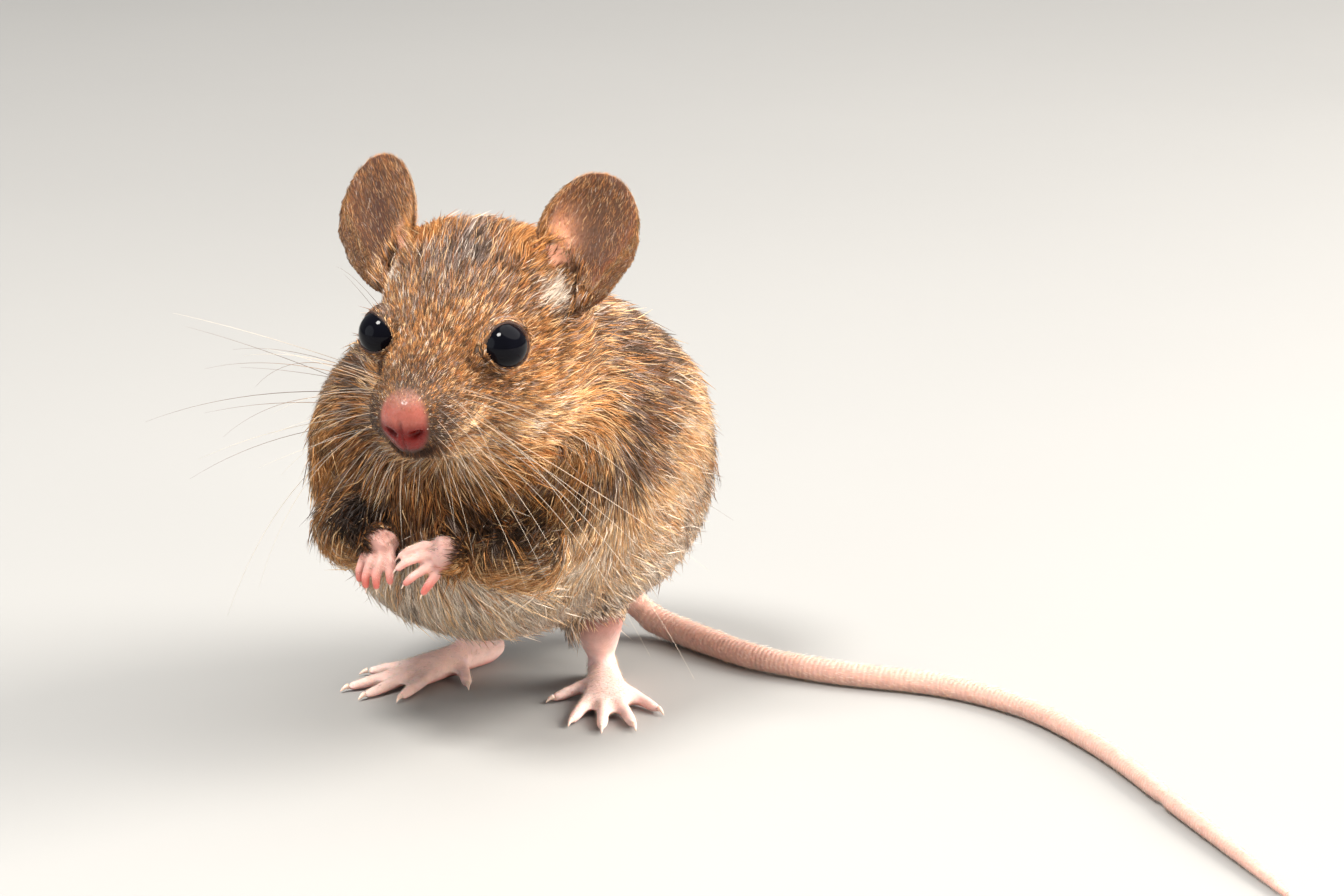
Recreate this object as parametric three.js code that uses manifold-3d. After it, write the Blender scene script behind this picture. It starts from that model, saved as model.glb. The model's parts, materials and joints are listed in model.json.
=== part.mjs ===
// A wood mouse (Apodemus sylvaticus), life size, sitting up on its hind feet with its forepaws held before
// its chest and its tail laid on the floor to its left. It is a still model: nothing moves.
// Millimetres, +Z up. The mouse faces -Y, so its left side is +X, and its soles and tail lie on z = 0.
// The surfaces are those of the coat, out to the hair tips, and of the bare skin on nose, ears, feet, tail.
import * as THREE from "three";
import { mergeVertices } from "three/addons/utils/BufferGeometryUtils.js";
import Module from "manifold-3d";

// ---- driving dimensions ---------------------------------------------------------------------------------

const GAP = 0.3; // width of the thin cuts between neighbouring parts
const FLOOR_DEPTH = 20; // thickness of the block that flattens soles and tail at floor level

const HEAD_LENGTH = 33; // nose tip to the nape, where the coat hides the join
const HEAD_PIVOT = 22; // nose tip back to the point between the ears that the head turns about
const HEAD_PLACE = [5.8, -15.8, 46.1]; // that point in the body's frame
const HEAD_PITCH = 11.5; // degrees, nose down
const HEAD_YAW = 4.5; // degrees, towards the mouse's left
const HEAD_ROLL = 0.5; // degrees, left eye lower

const EYE_RADIUS = 2.55;
const EYE_PLACE = [6.8, -9.9, 3.6]; // left eye's centre in the head's frame
const EAR_LENGTH = 16.2;
const EAR_WIDTH = 11.8;
const EAR_THICKNESS = 0.8;
const EAR_PLACE = [9.2, 0.2, 2.4]; // root of the left ear in the head's frame
const EAR_BACK = 27; // degrees that the ears lean back
const EAR_OUT = 14; // degrees that they lean out
const EAR_TURN = 17; // degrees that their openings turn out from straight ahead

const TRUNK_LENGTH = 53; // chest to rump
const TRUNK_FRONT = -22; // y of the foremost fur of the chest
const THIGH_RADII = [6.6, 13.2, 11.8];
const THIGH_PLACE = [12.1, 8.6, 20.4];
const THIGH_RISE = 14; // degrees that its front end is raised
const THIGH_LEAN = 15; // degrees that its lower end is drawn in
const THIGH_TURN = 6; // degrees that its front end is turned in

const FOOT_LENGTH = 13.5; // heel to the roots of the toes; with the toes it is 21
const TOE_RADIUS = 0.85;
const FINGER_RADIUS = 0.58;

const TAIL_LENGTHS = 4; // the tail is divided into this many pieces

// ---- shaping tools --------------------------------------------------------------------------------------

const wasm = await Module();
wasm.setup();

const UP = new THREE.Vector3(0, 0, 1);
const BACK = new THREE.Vector3(0, 1, 0);
const STEEP = 0.65; // vertical share of a limb's run past which its rings are set square by BACK, not UP
const radians = THREE.MathUtils.degToRad;
const point = ([x, y, z]) => new THREE.Vector3(x, y, z);

// Values at any place from a few stations [place, value, value, ...], joined by a smooth curve.
function between(stations) {
  const places = stations.map((row) => row[0]);
  const values = stations.flatMap((row) => row.slice(1));
  const curve = new THREE.CubicInterpolant(places, values, stations[0].length - 1, []);
  return (place) => curve.evaluate(place);
}

// A sphere's vertices moved one by one: place(along, around, ring) gives each its point, where along runs
// from 0 at one pole to 1 at the other and around is the angle in radians.
function shaped(sides, rings, place) {
  const skin = new THREE.SphereGeometry(1, sides, rings);
  const { position, uv } = skin.attributes;
  for (let i = 0; i < position.count; i++) {
    const along = 1 - uv.getY(i);
    const { x, y, z } = place(along, uv.getX(i) * 2 * Math.PI, Math.round(along * rings));
    position.setXYZ(i, x, y, z);
  }
  return skin;
}

// The size of a ring on a body whose ends are rounded like an egg's over the shares front and rear.
function rounding(share, front, rear) {
  const fromFront = 1 - Math.min(1, share / front);
  const fromRear = 1 - Math.min(1, (1 - share) / rear);
  return Math.sqrt(1 - fromFront ** 2) * Math.sqrt(1 - fromRear ** 2);
}

// A closed body of oval rings along a curve. section(share) gives [half width, height above, depth below] at
// that share of the curve. Its ends are rounded over the shares in round, or flat where that share is 0.
function swept(curve, { sides, rings, section, round = [0.1, 0.1], above = UP }) {
  const flat = round[0] === 0;
  return shaped(sides, rings, (along, around, ring) => {
    const even = THREE.MathUtils.clamp((ring - 1) / (rings - 2), 0, 1);
    const share = flat ? even : (1 - Math.cos(Math.PI * along)) / 2;
    const atPole = ring === 0 || ring === rings;
    const [wide, high, deep] = section(share);
    const size = atPole ? 0 : flat ? 1 : rounding(share, ...round);
    const ahead = curve.getTangent(share);
    const side = new THREE.Vector3().crossVectors(above, ahead).normalize();
    const top = new THREE.Vector3().crossVectors(ahead, side);
    const height = Math.sin(around) > 0 ? high : deep;
    return curve
      .getPoint(share)
      .addScaledVector(side, wide * size * Math.cos(around))
      .addScaledVector(top, height * size * Math.sin(around));
  });
}

// Pushes the surface near a centre outwards or inwards, fading with distance, as a thumb does in clay.
function pressed(skin, centre, reach, push) {
  const { position } = skin.attributes;
  const from = point(centre);
  const here = new THREE.Vector3();
  for (let i = 0; i < position.count; i++) {
    here.fromBufferAttribute(position, i);
    const strength = Math.exp(-((here.distanceTo(from) / reach) ** 2));
    here.addScaledVector(point(push), strength);
    position.setXYZ(i, here.x, here.y, here.z);
  }
  return skin;
}

const curveThrough = (...points) => new THREE.CatmullRomCurve3(points.map(point), false, "centripetal");

// A limb's length: round, through the given points, with its radii spread evenly along it.
function limb(points, radii, sides, rings, round = [0.16, 0.16]) {
  const section = between(radii.map((r, i) => [i / (radii.length - 1), r, r, r]));
  const run = point(points.at(-1)).sub(point(points[0])).normalize();
  const above = Math.abs(run.z) > STEEP ? BACK : UP;
  return swept(curveThrough(...points), { sides, rings, section, round, above });
}

function welded(skin) {
  const bare = new THREE.BufferGeometry().setAttribute("position", skin.attributes.position);
  bare.setIndex(skin.index);
  return mergeVertices(bare, 1e-4);
}

function solidOf(skin) {
  const shell = welded(skin);
  const vertProperties = new Float32Array(shell.attributes.position.array);
  const triVerts = new Uint32Array(shell.index.array);
  const solid = new wasm.Manifold(new wasm.Mesh({ numProp: 3, vertProperties, triVerts }));
  if (solid.volume() > 0) return solid;
  for (let i = 0; i < triVerts.length; i += 3)
    [triVerts[i + 1], triVerts[i + 2]] = [triVerts[i + 2], triVerts[i + 1]];
  return new wasm.Manifold(new wasm.Mesh({ numProp: 3, vertProperties, triVerts }));
}

function skinOf(solid) {
  const mesh = solid.getMesh();
  const corners = new Float32Array(mesh.numVert * 3);
  for (let i = 0; i < mesh.numVert; i++)
    corners.set(mesh.vertProperties.subarray(i * mesh.numProp, i * mesh.numProp + 3), i * 3);
  const skin = new THREE.BufferGeometry();
  skin.setAttribute("position", new THREE.BufferAttribute(corners, 3));
  skin.setIndex(new THREE.BufferAttribute(mesh.triVerts, 1));
  return skin;
}

const joined = (...skins) => skinOf(skins.map(solidOf).reduce((a, b) => a.add(b)));
const overlap = (a, b) => skinOf(solidOf(a).intersect(solidOf(b)));

// The same skin moved out along its normals, which leaves a gap round it when it cuts a neighbour.
function grown(skin, by) {
  const shell = skinOf(solidOf(skin));
  shell.computeVertexNormals();
  const { position, normal } = shell.attributes;
  for (let i = 0; i < position.count; i++)
    position.setXYZ(
      i,
      position.getX(i) + normal.getX(i) * by,
      position.getY(i) + normal.getY(i) * by,
      position.getZ(i) + normal.getZ(i) * by,
    );
  return shell;
}

// Cuts everything below z = 0, which leaves flat soles at floor level.
function stood(skin) {
  const size = skin.clone();
  size.computeBoundingBox();
  const reach = size.boundingBox.getSize(new THREE.Vector3()).length() + FLOOR_DEPTH;
  const middle = size.boundingBox.getCenter(new THREE.Vector3());
  const block = new THREE.BoxGeometry(reach, reach, FLOOR_DEPTH);
  block.translate(middle.x, middle.y, -FLOOR_DEPTH / 2);
  return skinOf(solidOf(skin).subtract(solidOf(block)));
}

// ---- head -----------------------------------------------------------------------------------------------

// The head's own frame has its nose at -Y and its origin between the ears.
const headTurn = new THREE.Matrix4()
  .makeRotationFromEuler(new THREE.Euler(radians(HEAD_PITCH), radians(HEAD_ROLL), radians(HEAD_YAW), "ZXY"))
  .setPosition(...HEAD_PLACE);
const onHead = (skin) => skin.applyMatrix4(headTurn);

// Distance behind the nose tip, then half width, height above and depth below the line from nose to nape.
const HEAD_STATIONS = [
  [0, 2.5, 2.1, 3.2],
  [2, 4.1, 3, 4.8],
  [4.2, 5, 3.7, 5.6],
  [6.5, 5.5, 4.4, 5.9],
  [9, 6.2, 5.4, 6.3],
  [12, 7.5, 7.3, 7],
  [15, 9.1, 9.2, 8.0],
  [18, 10.4, 10.9, 9.2],
  [22, 11.4, 12.2, 10.6],
  [26, 12.2, 12.6, 11.4],
  [33, 12.0, 11.8, 11.4],
];

function head() {
  const sizes = between(HEAD_STATIONS);
  const section = (share) => sizes(share * HEAD_LENGTH);
  const line = new THREE.LineCurve3(
    new THREE.Vector3(0, -HEAD_PIVOT, 0),
    new THREE.Vector3(0, HEAD_LENGTH - HEAD_PIVOT, 0),
  );
  const skull = swept(line, { sides: 24, rings: 16, section, round: [0.06, 0.3] });
  for (const side of [1, -1]) {
    pressed(skull, [side * 4.8, -17.6, -1.6], 2.8, [side * 0.9, -0.4, -0.3]); // whisker pads
    pressed(skull, [side * 8.6, -6, -4.5], 5, [side * 1.2, 0, -0.6]); // cheeks
    pressed(skull, [side * 5.6, -13.6, 3], 2.2, [side * -0.4, 0, -0.1]); // hollow before the eye
    pressed(skull, [side * 5.2, -8.6, 7.4], 3, [side * 0.5, 0, 0.3]); // brow
  }
  return onHead(skull);
}

function nose() {
  const pad = new THREE.SphereGeometry(1, 12, 8);
  pad.scale(2.6, 1.9, 2.9);
  pad.translate(0, -HEAD_PIVOT + 1.2, -0.4);
  return onHead(pad);
}

function chin() {
  const line = new THREE.LineCurve3(point([0, -17.8, -5.5]), point([0, -6.5, -8.2]));
  const section = between([[0, 1.9, 1.4, 1.9], [0.5, 3.6, 2, 2.6], [1, 5, 2, 3]]);
  return onHead(swept(line, { sides: 10, rings: 7, section, round: [0.2, 0.2] }));
}

function eye(side) {
  const ball = new THREE.SphereGeometry(EYE_RADIUS, 12, 9);
  return onHead(ball.translate(side * EYE_PLACE[0], EYE_PLACE[1], EYE_PLACE[2]));
}

// A thin leaf rolled about its own length: nearly a tube at its root and a shallow dish at its top.
const EAR_ROLL = between([[0, 215], [0.25, 150], [0.55, 84], [1, 50]]); // degrees of arc, from root to top
const EAR_SPREAD = between([[0, 0.9], [0.25, 1.04], [0.6, 1.02], [1, 0.98]]); // share of the full width
const EAR_RIM = 1.6; // how strongly the leaf's rings crowd towards its rim, which keeps it thick up to there

// Splits the quads on a sphere's rear half along their other diagonals. Pressed flat, its front and back then
// run side by side and never cross.
function matched(ball, sides, rings) {
  const corners = ball.index.array;
  for (let ring = rings / 2; ring < rings - 1; ring++)
    for (let i = 0; i < sides; i++) {
      const first = 3 * sides * (2 * ring - 1) + 6 * i;
      const [a, b, d, , c] = corners.slice(first, first + 5);
      corners.set([a, b, c, a, c, d], first);
    }
  return ball;
}

function ear(side) {
  const leaf = matched(new THREE.SphereGeometry(1, 20, 8), 20, 8);
  const { position } = leaf.attributes;
  for (let i = 0; i < position.count; i++) {
    const reach = Math.hypot(position.getX(i), position.getZ(i));
    const outwards = (1 - Math.max(0, 1 - reach) ** EAR_RIM) / (reach || 1);
    const across = position.getX(i) * outwards;
    const height = (position.getZ(i) * outwards + 1) / 2;
    const face = position.getY(i);
    const half = (EAR_WIDTH / 2) * EAR_SPREAD(height)[0];
    const arc = radians(EAR_ROLL(height)[0]) / 2;
    const radius = half / arc;
    const angle = arc * across;
    const out = Math.sign(face) * Math.abs(face) ** 0.4 * (EAR_THICKNESS / 2);
    position.setXYZ(
      i,
      (radius - out) * Math.sin(angle),
      out * Math.cos(angle) - radius * (1 - Math.cos(angle)),
      height * EAR_LENGTH,
    );
  }
  leaf.rotateZ(radians(EAR_TURN));
  leaf.rotateY(radians(EAR_OUT));
  leaf.rotateX(radians(-EAR_BACK));
  leaf.translate(...EAR_PLACE);
  leaf.scale(side, 1, 1);
  return onHead(leaf);
}

// ---- neck and trunk -------------------------------------------------------------------------------------

// Distance behind the front of the chest, then half width, then the heights of back and belly.
const TRUNK_STATIONS = [
  [0, 10.6, 38.4, 21.5],
  [5, 14.4, 43, 14.2],
  [11, 17.6, 46.8, 9.8],
  [18, 19.1, 48.4, 8.1],
  [26, 19.4, 48.3, 7.4],
  [34, 19.2, 46.2, 6.6],
  [41, 18, 41.8, 5.6],
  [47, 15.6, 35.4, 4.2],
  [53, 12, 25, 3.6],
];

const TRUNK_ROUND = [0.12, 0.3]; // shares of its length over which breast and rump close

function trunk() {
  const sizes = between(TRUNK_STATIONS);
  const line = new THREE.LineCurve3(
    new THREE.Vector3(0, TRUNK_FRONT, 0),
    new THREE.Vector3(0, TRUNK_FRONT + TRUNK_LENGTH, 0),
  );
  // The line lies on the floor, and each ring is centred between its own back and belly.
  const barrel = shaped(24, 15, (along, around) => {
    const share = (1 - Math.cos(Math.PI * along)) / 2;
    const [wide, back, belly] = sizes(share * TRUNK_LENGTH);
    const fade = rounding(share, ...TRUNK_ROUND);
    const half = (back - belly) / 2;
    const ring = point([wide * fade * Math.cos(around), 0, belly + half + half * fade * Math.sin(around)]);
    return line.getPoint(share).add(ring);
  });
  pressed(barrel, [0, -20, 27], 9, [1.5, -1.5, 0]); // breast
  for (const side of [1, -1]) {
    pressed(barrel, [side * 15, 15, 36], 9, [side * 1.8, 0, 0.3]); // haunch
    pressed(barrel, [side * 16, -9, 36], 7, [side * 0.9, 0, 0.2]); // shoulder
  }
  return barrel;
}

const NECK_LINE = [[3.8, -16, 42.5], [2.6, -9, 38], [0.5, 0, 31]]; // from the nape into the shoulders
const NECK_RADII = [11.4, 13.6, 15.4];
const neck = () => limb(NECK_LINE, NECK_RADII, 16, 6, [0.4, 0.4]);

// ---- forelimbs ------------------------------------------------------------------------------------------

// Each forelimb's joints in the body's frame. The mouse's left forearm is lower and nearer its middle.
const ARMS = {
  left: {
    shoulder: [11.6, -11.5, 31],
    elbow: [14.2, -14, 22.8],
    wrist: [7.2, -21.9, 22.7],
    palm: [5.2, -23.3, 23.5],
    fingers: [
      { root: [4.1, -23.7, 24.4], middle: [2.3, -24.9, 24.2], tip: [0.4, -25.2, 22.9] },
      { root: [3.9, -24.2, 23.5], middle: [2.1, -25.5, 23], tip: [0.4, -25.8, 21.7] },
      { root: [4, -24.1, 22.5], middle: [2.6, -25.4, 21.4], tip: [1.3, -25.7, 20.1] },
      { root: [4.6, -23.5, 21.8], middle: [4, -24.7, 20.5], tip: [3.2, -25.2, 19.1] },
    ],
  },
  right: {
    shoulder: [-10.8, -11.5, 31],
    elbow: [-10.7, -15.6, 22.8],
    wrist: [-4.4, -22.4, 24.2],
    palm: [-2.3, -23.6, 23.8],
    fingers: [
      { root: [-3.4, -24, 23.2], middle: [-4.1, -25.1, 21.5], tip: [-4.2, -25, 19.5] },
      { root: [-2.5, -24.7, 22.9], middle: [-3, -25.8, 21.1], tip: [-3.1, -25.7, 19.1] },
      { root: [-1.5, -24.8, 22.9], middle: [-1.7, -25.9, 21.2], tip: [-1.8, -25.8, 19.2] },
      { root: [-0.6, -24.4, 23.1], middle: [-0.4, -25.4, 21.6], tip: [-0.4, -25.3, 19.8] },
    ],
  },
};

const upperArm = ({ shoulder, elbow }) => limb([shoulder, elbow], [5.3, 5.4, 4.6], 10, 6, [0.35, 0.35]);
const foreArm = ({ elbow, wrist }) => limb([elbow, wrist], [4.1, 3.5, 1.8], 12, 6, [0.25, 0.12]);

function hand({ wrist, palm, fingers }) {
  const pads = limb([wrist, palm, fingers[1].root], [1.35, 2, 1.7], 10, 6, [0.3, 0.3]);
  const radii = [1, 1.1, 0.95, 0.8].map((share) => share * FINGER_RADIUS);
  const digit = ({ root, middle, tip }) => limb([palm, root, middle, tip], radii, 6, 6, [0.1, 0.12]);
  const digits = fingers.map(digit);
  return joined(pads, ...digits);
}

// ---- hind limbs -----------------------------------------------------------------------------------------

const LEGS = {
  left: { heel: [6.4, 12.2, 1.9], splay: 29, knee: [10.4, 2.6, 12.4] },
  right: { heel: [-7.4, 12.6, 1.9], splay: -22, knee: [-10.4, 2.6, 12.4] },
};

// Toes from the inner to the outer: degrees from the foot's line, length, and how far behind the sole's front
// and how far to its side they spring.
const TOES = [
  { turn: -56, long: 5.5, back: 5, out: -1.6 },
  { turn: -21, long: 8.4, back: 1.2, out: -1.5 },
  { turn: -5, long: 9.4, back: 0.2, out: -0.4 },
  { turn: 10, long: 9.1, back: 0.4, out: 0.8 },
  { turn: 32, long: 7.2, back: 3, out: 1.7 },
];
const TOE_SET_BACK = 2.4; // how far inside the sole's front the toes are rooted

function thigh(side) {
  const mass = new THREE.SphereGeometry(1, 12, 8).scale(...THIGH_RADII);
  mass.rotateX(radians(-THIGH_RISE));
  mass.rotateY(radians(THIGH_LEAN));
  mass.rotateZ(radians(THIGH_TURN));
  mass.translate(...THIGH_PLACE);
  return mass.scale(side, 1, 1);
}

function shank({ heel, knee }) {
  const hock = [heel[0], heel[1] - 0.6, 3.4];
  const calf = [(heel[0] + knee[0]) / 2, (heel[1] + knee[1]) / 2, 7];
  return limb([hock, calf, knee], [2.1, 2.6, 4], 12, 6);
}

function foot({ heel, splay }, side) {
  const turned = new THREE.Matrix4().makeRotationZ(radians(splay)).setPosition(heel[0], heel[1], 0);
  const line = curveThrough([0, 1.6, 2], [0, -4, 1.6], [0, -9.5, 1.3], [0, -FOOT_LENGTH, 0.9]);
  const section = between([[0, 1.7, 2.1, 2], [0.4, 2, 1.6, 1.8], [0.75, 2.9, 1.4, 1.6], [1, 3, 1, 1.2]]);
  const sole = swept(line, { sides: 10, rings: 8, section, round: [0.15, 0.15] });
  const toes = TOES.map(({ turn, long, back, out }) => {
    const angle = radians(turn) * side;
    const root = [out * side, -FOOT_LENGTH + TOE_SET_BACK + back, 1.2];
    const at = (share, height) => [
      root[0] + Math.sin(angle) * long * share,
      root[1] - Math.cos(angle) * long * share,
      height,
    ];
    const radii = [1.15, 1, 0.95, 0.8].map((share) => share * TOE_RADIUS);
    return limb([root, at(0.4, 1), at(0.72, 0.68), at(1, 0.48)], radii, 6, 6, [0.1, 0.1]);
  });
  return stood(joined(sole, ...toes).applyMatrix4(turned));
}

// ---- tail -----------------------------------------------------------------------------------------------

// It leaves the rump just above the floor, comes down at once, and curves round to the mouse's left.
const TAIL_LINE = curveThrough(
  [0.2, 22, 9.5],
  [1, 26.4, 6.8],
  [3.4, 28.8, 3.2],
  [8, 27.8, 0.8],
  [13.4, 25.2, 0],
  [20.5, 22.1, 0],
  [31, 20.8, 0],
  [44, 21.6, 0],
  [55, 18, 0],
  [67.3, 8.6, 0],
  [81.5, -6.2, 0],
  [101.5, -27.3, 0],
);
const TAIL_RADIUS = between([[0, 1.95], [0.3, 1.5], [0.6, 1.25], [0.87, 1], [1, 0.6]]); // by share of length
const TAIL_PRESS = 0.94; // height of its middle above the floor, in radii, which leaves a narrow flat below

function tailPiece(index) {
  const whole = TAIL_LINE.getLength();
  const cut = GAP / 2 / whole;
  const start = index / TAIL_LENGTHS + (index > 0 ? cut : 0);
  const end = (index + 1) / TAIL_LENGTHS - (index < TAIL_LENGTHS - 1 ? cut : 0);
  const along = (share) => THREE.MathUtils.lerp(start, end, share);
  const stretch = new THREE.Curve();
  stretch.getPoint = (share) => {
    const place = TAIL_LINE.getPointAt(along(share));
    place.z = Math.max(place.z, TAIL_PRESS * TAIL_RADIUS(along(share))[0]);
    return place;
  };
  stretch.getTangent = (share) => TAIL_LINE.getTangentAt(along(share));
  const section = (share) => {
    const [r] = TAIL_RADIUS(along(share));
    return [r, r, r];
  };
  const round = index === TAIL_LENGTHS - 1 ? [0.01, 0.04] : [0, 0];
  return stood(swept(stretch, { sides: 8, rings: 10, section, round }));
}

// ---- assembly -------------------------------------------------------------------------------------------

const COLOURS = {
  brown: { color: 0x8a6440, roughness: 0.85 },
  dark: { color: 0x0c0a0b, roughness: 0.08 },
  pink: { color: 0xd79a8c, roughness: 0.55 },
  ear: { color: 0x9a7258, roughness: 0.7 },
};

// Head, jaw, neck, upper arms and thighs are what these regions take out of the whole body, so its surface
// runs on across the cuts between them.
const oval = (centre, radii) => (by) => {
  const region = new THREE.SphereGeometry(1, 12, 8).scale(...radii.map((r) => r + by));
  return region.translate(...centre);
};
const headRegion = (by) => onHead(oval([0, -6.5, 1.2], [17, 18.5, 14.5])(by));
const jawRegion = (by) => onHead(oval([0, -12.8, -8.5], [6.4, 7.6, 4])(by));
const armRegion = (side) => oval([side * 15.5, -12.6, 27.4], [8, 7.4, 9.4]);
const thighRegion = (side) => oval([side * 17.5, 8.8, 18.6], [10, 14.6, 13.6]);

const NECK_PLANE = [0, -11, 40]; // a point of the cut between neck and trunk
const NECK_SLOPE = 48; // degrees; the cut slopes from the nape down to the throat

function neckRegion(by) {
  const block = new THREE.BoxGeometry(90, 60, 60);
  block.translate(0, by - 30, 0);
  block.rotateX(radians(-NECK_SLOPE));
  return block.translate(...NECK_PLANE);
}

const flesh = joined(
  head(),
  chin(),
  neck(),
  trunk(),
  upperArm(ARMS.left),
  upperArm(ARMS.right),
  thigh(1),
  thigh(-1),
);
// What is set into the coat, then the coat's own parts, then what is bare or stands out and is trimmed at the
// coat. In each list a part is cut by all that come before it.
const setIn = [
  ["nose", nose(), "pink"],
  ["eye_left", eye(1), "dark"],
  ["eye_right", eye(-1), "dark"],
];
const regions = [
  ["lower_jaw", jawRegion],
  ["head", headRegion],
  ["upper_arm_left", armRegion(1)],
  ["upper_arm_right", armRegion(-1)],
  ["thigh_left", thighRegion(1)],
  ["thigh_right", thighRegion(-1)],
  ["neck", neckRegion],
];
const standingOut = [
  ["ear_left", ear(1), "ear"],
  ["ear_right", ear(-1), "ear"],
  ["hand_left", hand(ARMS.left), "pink"],
  ["hand_right", hand(ARMS.right), "pink"],
  ["forearm_left", foreArm(ARMS.left), "brown"],
  ["forearm_right", foreArm(ARMS.right), "brown"],
  ["foot_left", foot(LEGS.left, 1), "pink"],
  ["foot_right", foot(LEGS.right, -1), "pink"],
  ["shank_left", shank(LEGS.left), "brown"],
  ["shank_right", shank(LEGS.right), "brown"],
  ...Array.from({ length: TAIL_LENGTHS }, (_, i) => [`tail_${i + 1}`, tailPiece(i), "pink"]),
];

const mouse = new THREE.Group();

const apart = (a, b) => {
  const [p, q] = [a.boundingBox(), b.boundingBox()];
  return [0, 1, 2].some((k) => p.min[k] > q.max[k] || q.min[k] > p.max[k]);
};

function add(name, skin, colour, cutters) {
  let solid = solidOf(skin);
  for (const cutter of cutters) if (!apart(solid, cutter)) solid = solid.subtract(cutter);
  // A cut can leave slivers behind, and only the largest piece is the part.
  const [largest] = solid.decompose().sort((a, b) => b.volume() - a.volume());
  const mesh = new THREE.Mesh(skinOf(largest), new THREE.MeshStandardMaterial(COLOURS[colour]));
  mesh.name = name;
  mouse.add(mesh);
}

const taken = setIn.map(([, skin]) => solidOf(grown(skin, GAP)));
for (const [name, skin, colour] of setIn) add(name, skin, colour, []);
for (const [name, region] of regions) {
  add(name, overlap(flesh, region(0)), "brown", taken);
  taken.push(solidOf(region(GAP)));
}
add("trunk", flesh, "brown", taken);

const trims = [solidOf(grown(flesh, GAP))];
for (const [name, skin, colour] of standingOut) {
  add(name, skin, colour, trims);
  trims.push(solidOf(grown(skin, GAP)));
}

// The origin is on the floor, under the middle of the whole model's box.
const box = new THREE.Box3().setFromObject(mouse, true);
const middle = box.getCenter(new THREE.Vector3());
mouse.position.set(-middle.x, -middle.y, -box.min.z);

export default mouse;
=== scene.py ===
import json
from contextlib import contextmanager
from math import atan2, cos, pi, radians, sin

import bmesh
import bpy
import numpy as np
from mathutils import Matrix, Vector
from mathutils.bvhtree import BVHTree

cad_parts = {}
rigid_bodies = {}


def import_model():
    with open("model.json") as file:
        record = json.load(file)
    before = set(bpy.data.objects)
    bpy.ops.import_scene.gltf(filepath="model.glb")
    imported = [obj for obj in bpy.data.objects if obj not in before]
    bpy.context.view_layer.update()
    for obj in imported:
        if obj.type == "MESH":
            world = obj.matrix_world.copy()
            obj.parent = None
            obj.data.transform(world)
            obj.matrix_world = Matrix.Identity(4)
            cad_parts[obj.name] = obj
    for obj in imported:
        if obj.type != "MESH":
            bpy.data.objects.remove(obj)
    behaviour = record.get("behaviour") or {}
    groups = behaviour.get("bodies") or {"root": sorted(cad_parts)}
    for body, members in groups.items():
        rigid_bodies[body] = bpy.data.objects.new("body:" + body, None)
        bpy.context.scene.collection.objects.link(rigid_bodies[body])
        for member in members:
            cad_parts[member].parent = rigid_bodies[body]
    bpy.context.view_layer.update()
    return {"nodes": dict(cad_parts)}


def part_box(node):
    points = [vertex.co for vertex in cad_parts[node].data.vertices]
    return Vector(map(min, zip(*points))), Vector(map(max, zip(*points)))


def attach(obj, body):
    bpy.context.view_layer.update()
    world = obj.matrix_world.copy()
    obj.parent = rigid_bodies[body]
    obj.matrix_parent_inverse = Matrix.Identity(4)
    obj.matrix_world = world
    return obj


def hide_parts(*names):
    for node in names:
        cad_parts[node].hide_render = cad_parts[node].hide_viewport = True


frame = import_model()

# ---- skin: one shell -------------------------------------
# A wood mouse's skin is one soft shell from nose to tail tip, bare on nose, ears, paws and tail. It is
# made of all the flesh solids, swelled over their thin cuts, fused to one surface and smoothed.
MM = 0.001
GROUPS = {  # solids by the first words of their names: millimetres of coat over them, and their smoothing
    "trunk": (2.1, 0.8), "neck": (2.1, 0.8), "thigh": (1.9, 0.8), "upper_arm": (1.7, 0.8),
    "head": (1.5, 0.5), "lower_jaw": (0.9, 0.5), "forearm": (0.45, 0.45), "shank": (0.1, 0.5),
    "nose": (0, 0.4), "ear": (0.16, 0), "hand": (0, 0.08), "foot": (0, 0.2), "tail": (0, 0.35),
    "eye": (0.6, 0.5),  # the eyeballs fill their sockets until the lids are shaped
}
PAIRS = ("thigh", "upper_arm", "forearm", "shank", "ear", "hand", "foot", "eye")
ENDINGS = dict.fromkeys(PAIRS, ("_left", "_right")) | {"tail": ("_1", "_2", "_3", "_4")}
SWELL = 0.3 * MM  # over half of the cuts, so that neighbours meet
GRAIN = 0.33 * MM  # spacing of the fused surface
HAND_SWELL = 0.02 * MM  # the fingers stay apart, and the wrists run on inside the sleeves of fur
HAND_GRAIN = 0.17 * MM
SAME_POINT = 0.02 * MM
SMOOTH_ROUNDS = 26
EAR_ROUNDS = 22
HIDDEN_SHARE = 0.13  # of the faces is kept where the coat covers the skin
names_and_looks = [(group + end, GROUPS[group]) for group in GROUPS for end in ENDINGS.get(group, ("",))]
modelled = [name for name, _ in names_and_looks]
flesh = [name for name in modelled if not name.startswith("eye")]
coat_depth, smoothing = np.array([looks for _, looks in names_and_looks]).T


def picked(*objects):
    """Selects these objects alone and makes the first one active."""
    bpy.ops.object.select_all(action="DESELECT")
    for one in objects:
        one.select_set(True)
    bpy.context.view_layer.objects.active = objects[0]


@contextmanager
def editing():
    """Edit mode on the active piece, for as long as the block lasts."""
    bpy.ops.object.mode_set(mode="EDIT")
    yield
    bpy.ops.object.mode_set(mode="OBJECT")


def linked(name, mesh):
    piece = bpy.data.objects.new(name, mesh)
    bpy.context.scene.collection.objects.link(piece)
    return piece


def applied(piece, kind, **settings):
    """Gives a piece a modifier and applies it."""
    modifier = piece.modifiers.new(kind.lower(), kind)
    for key, value in settings.items():
        setattr(modifier, key, value)
    picked(piece)
    bpy.ops.object.modifier_apply(modifier=modifier.name)


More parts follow.
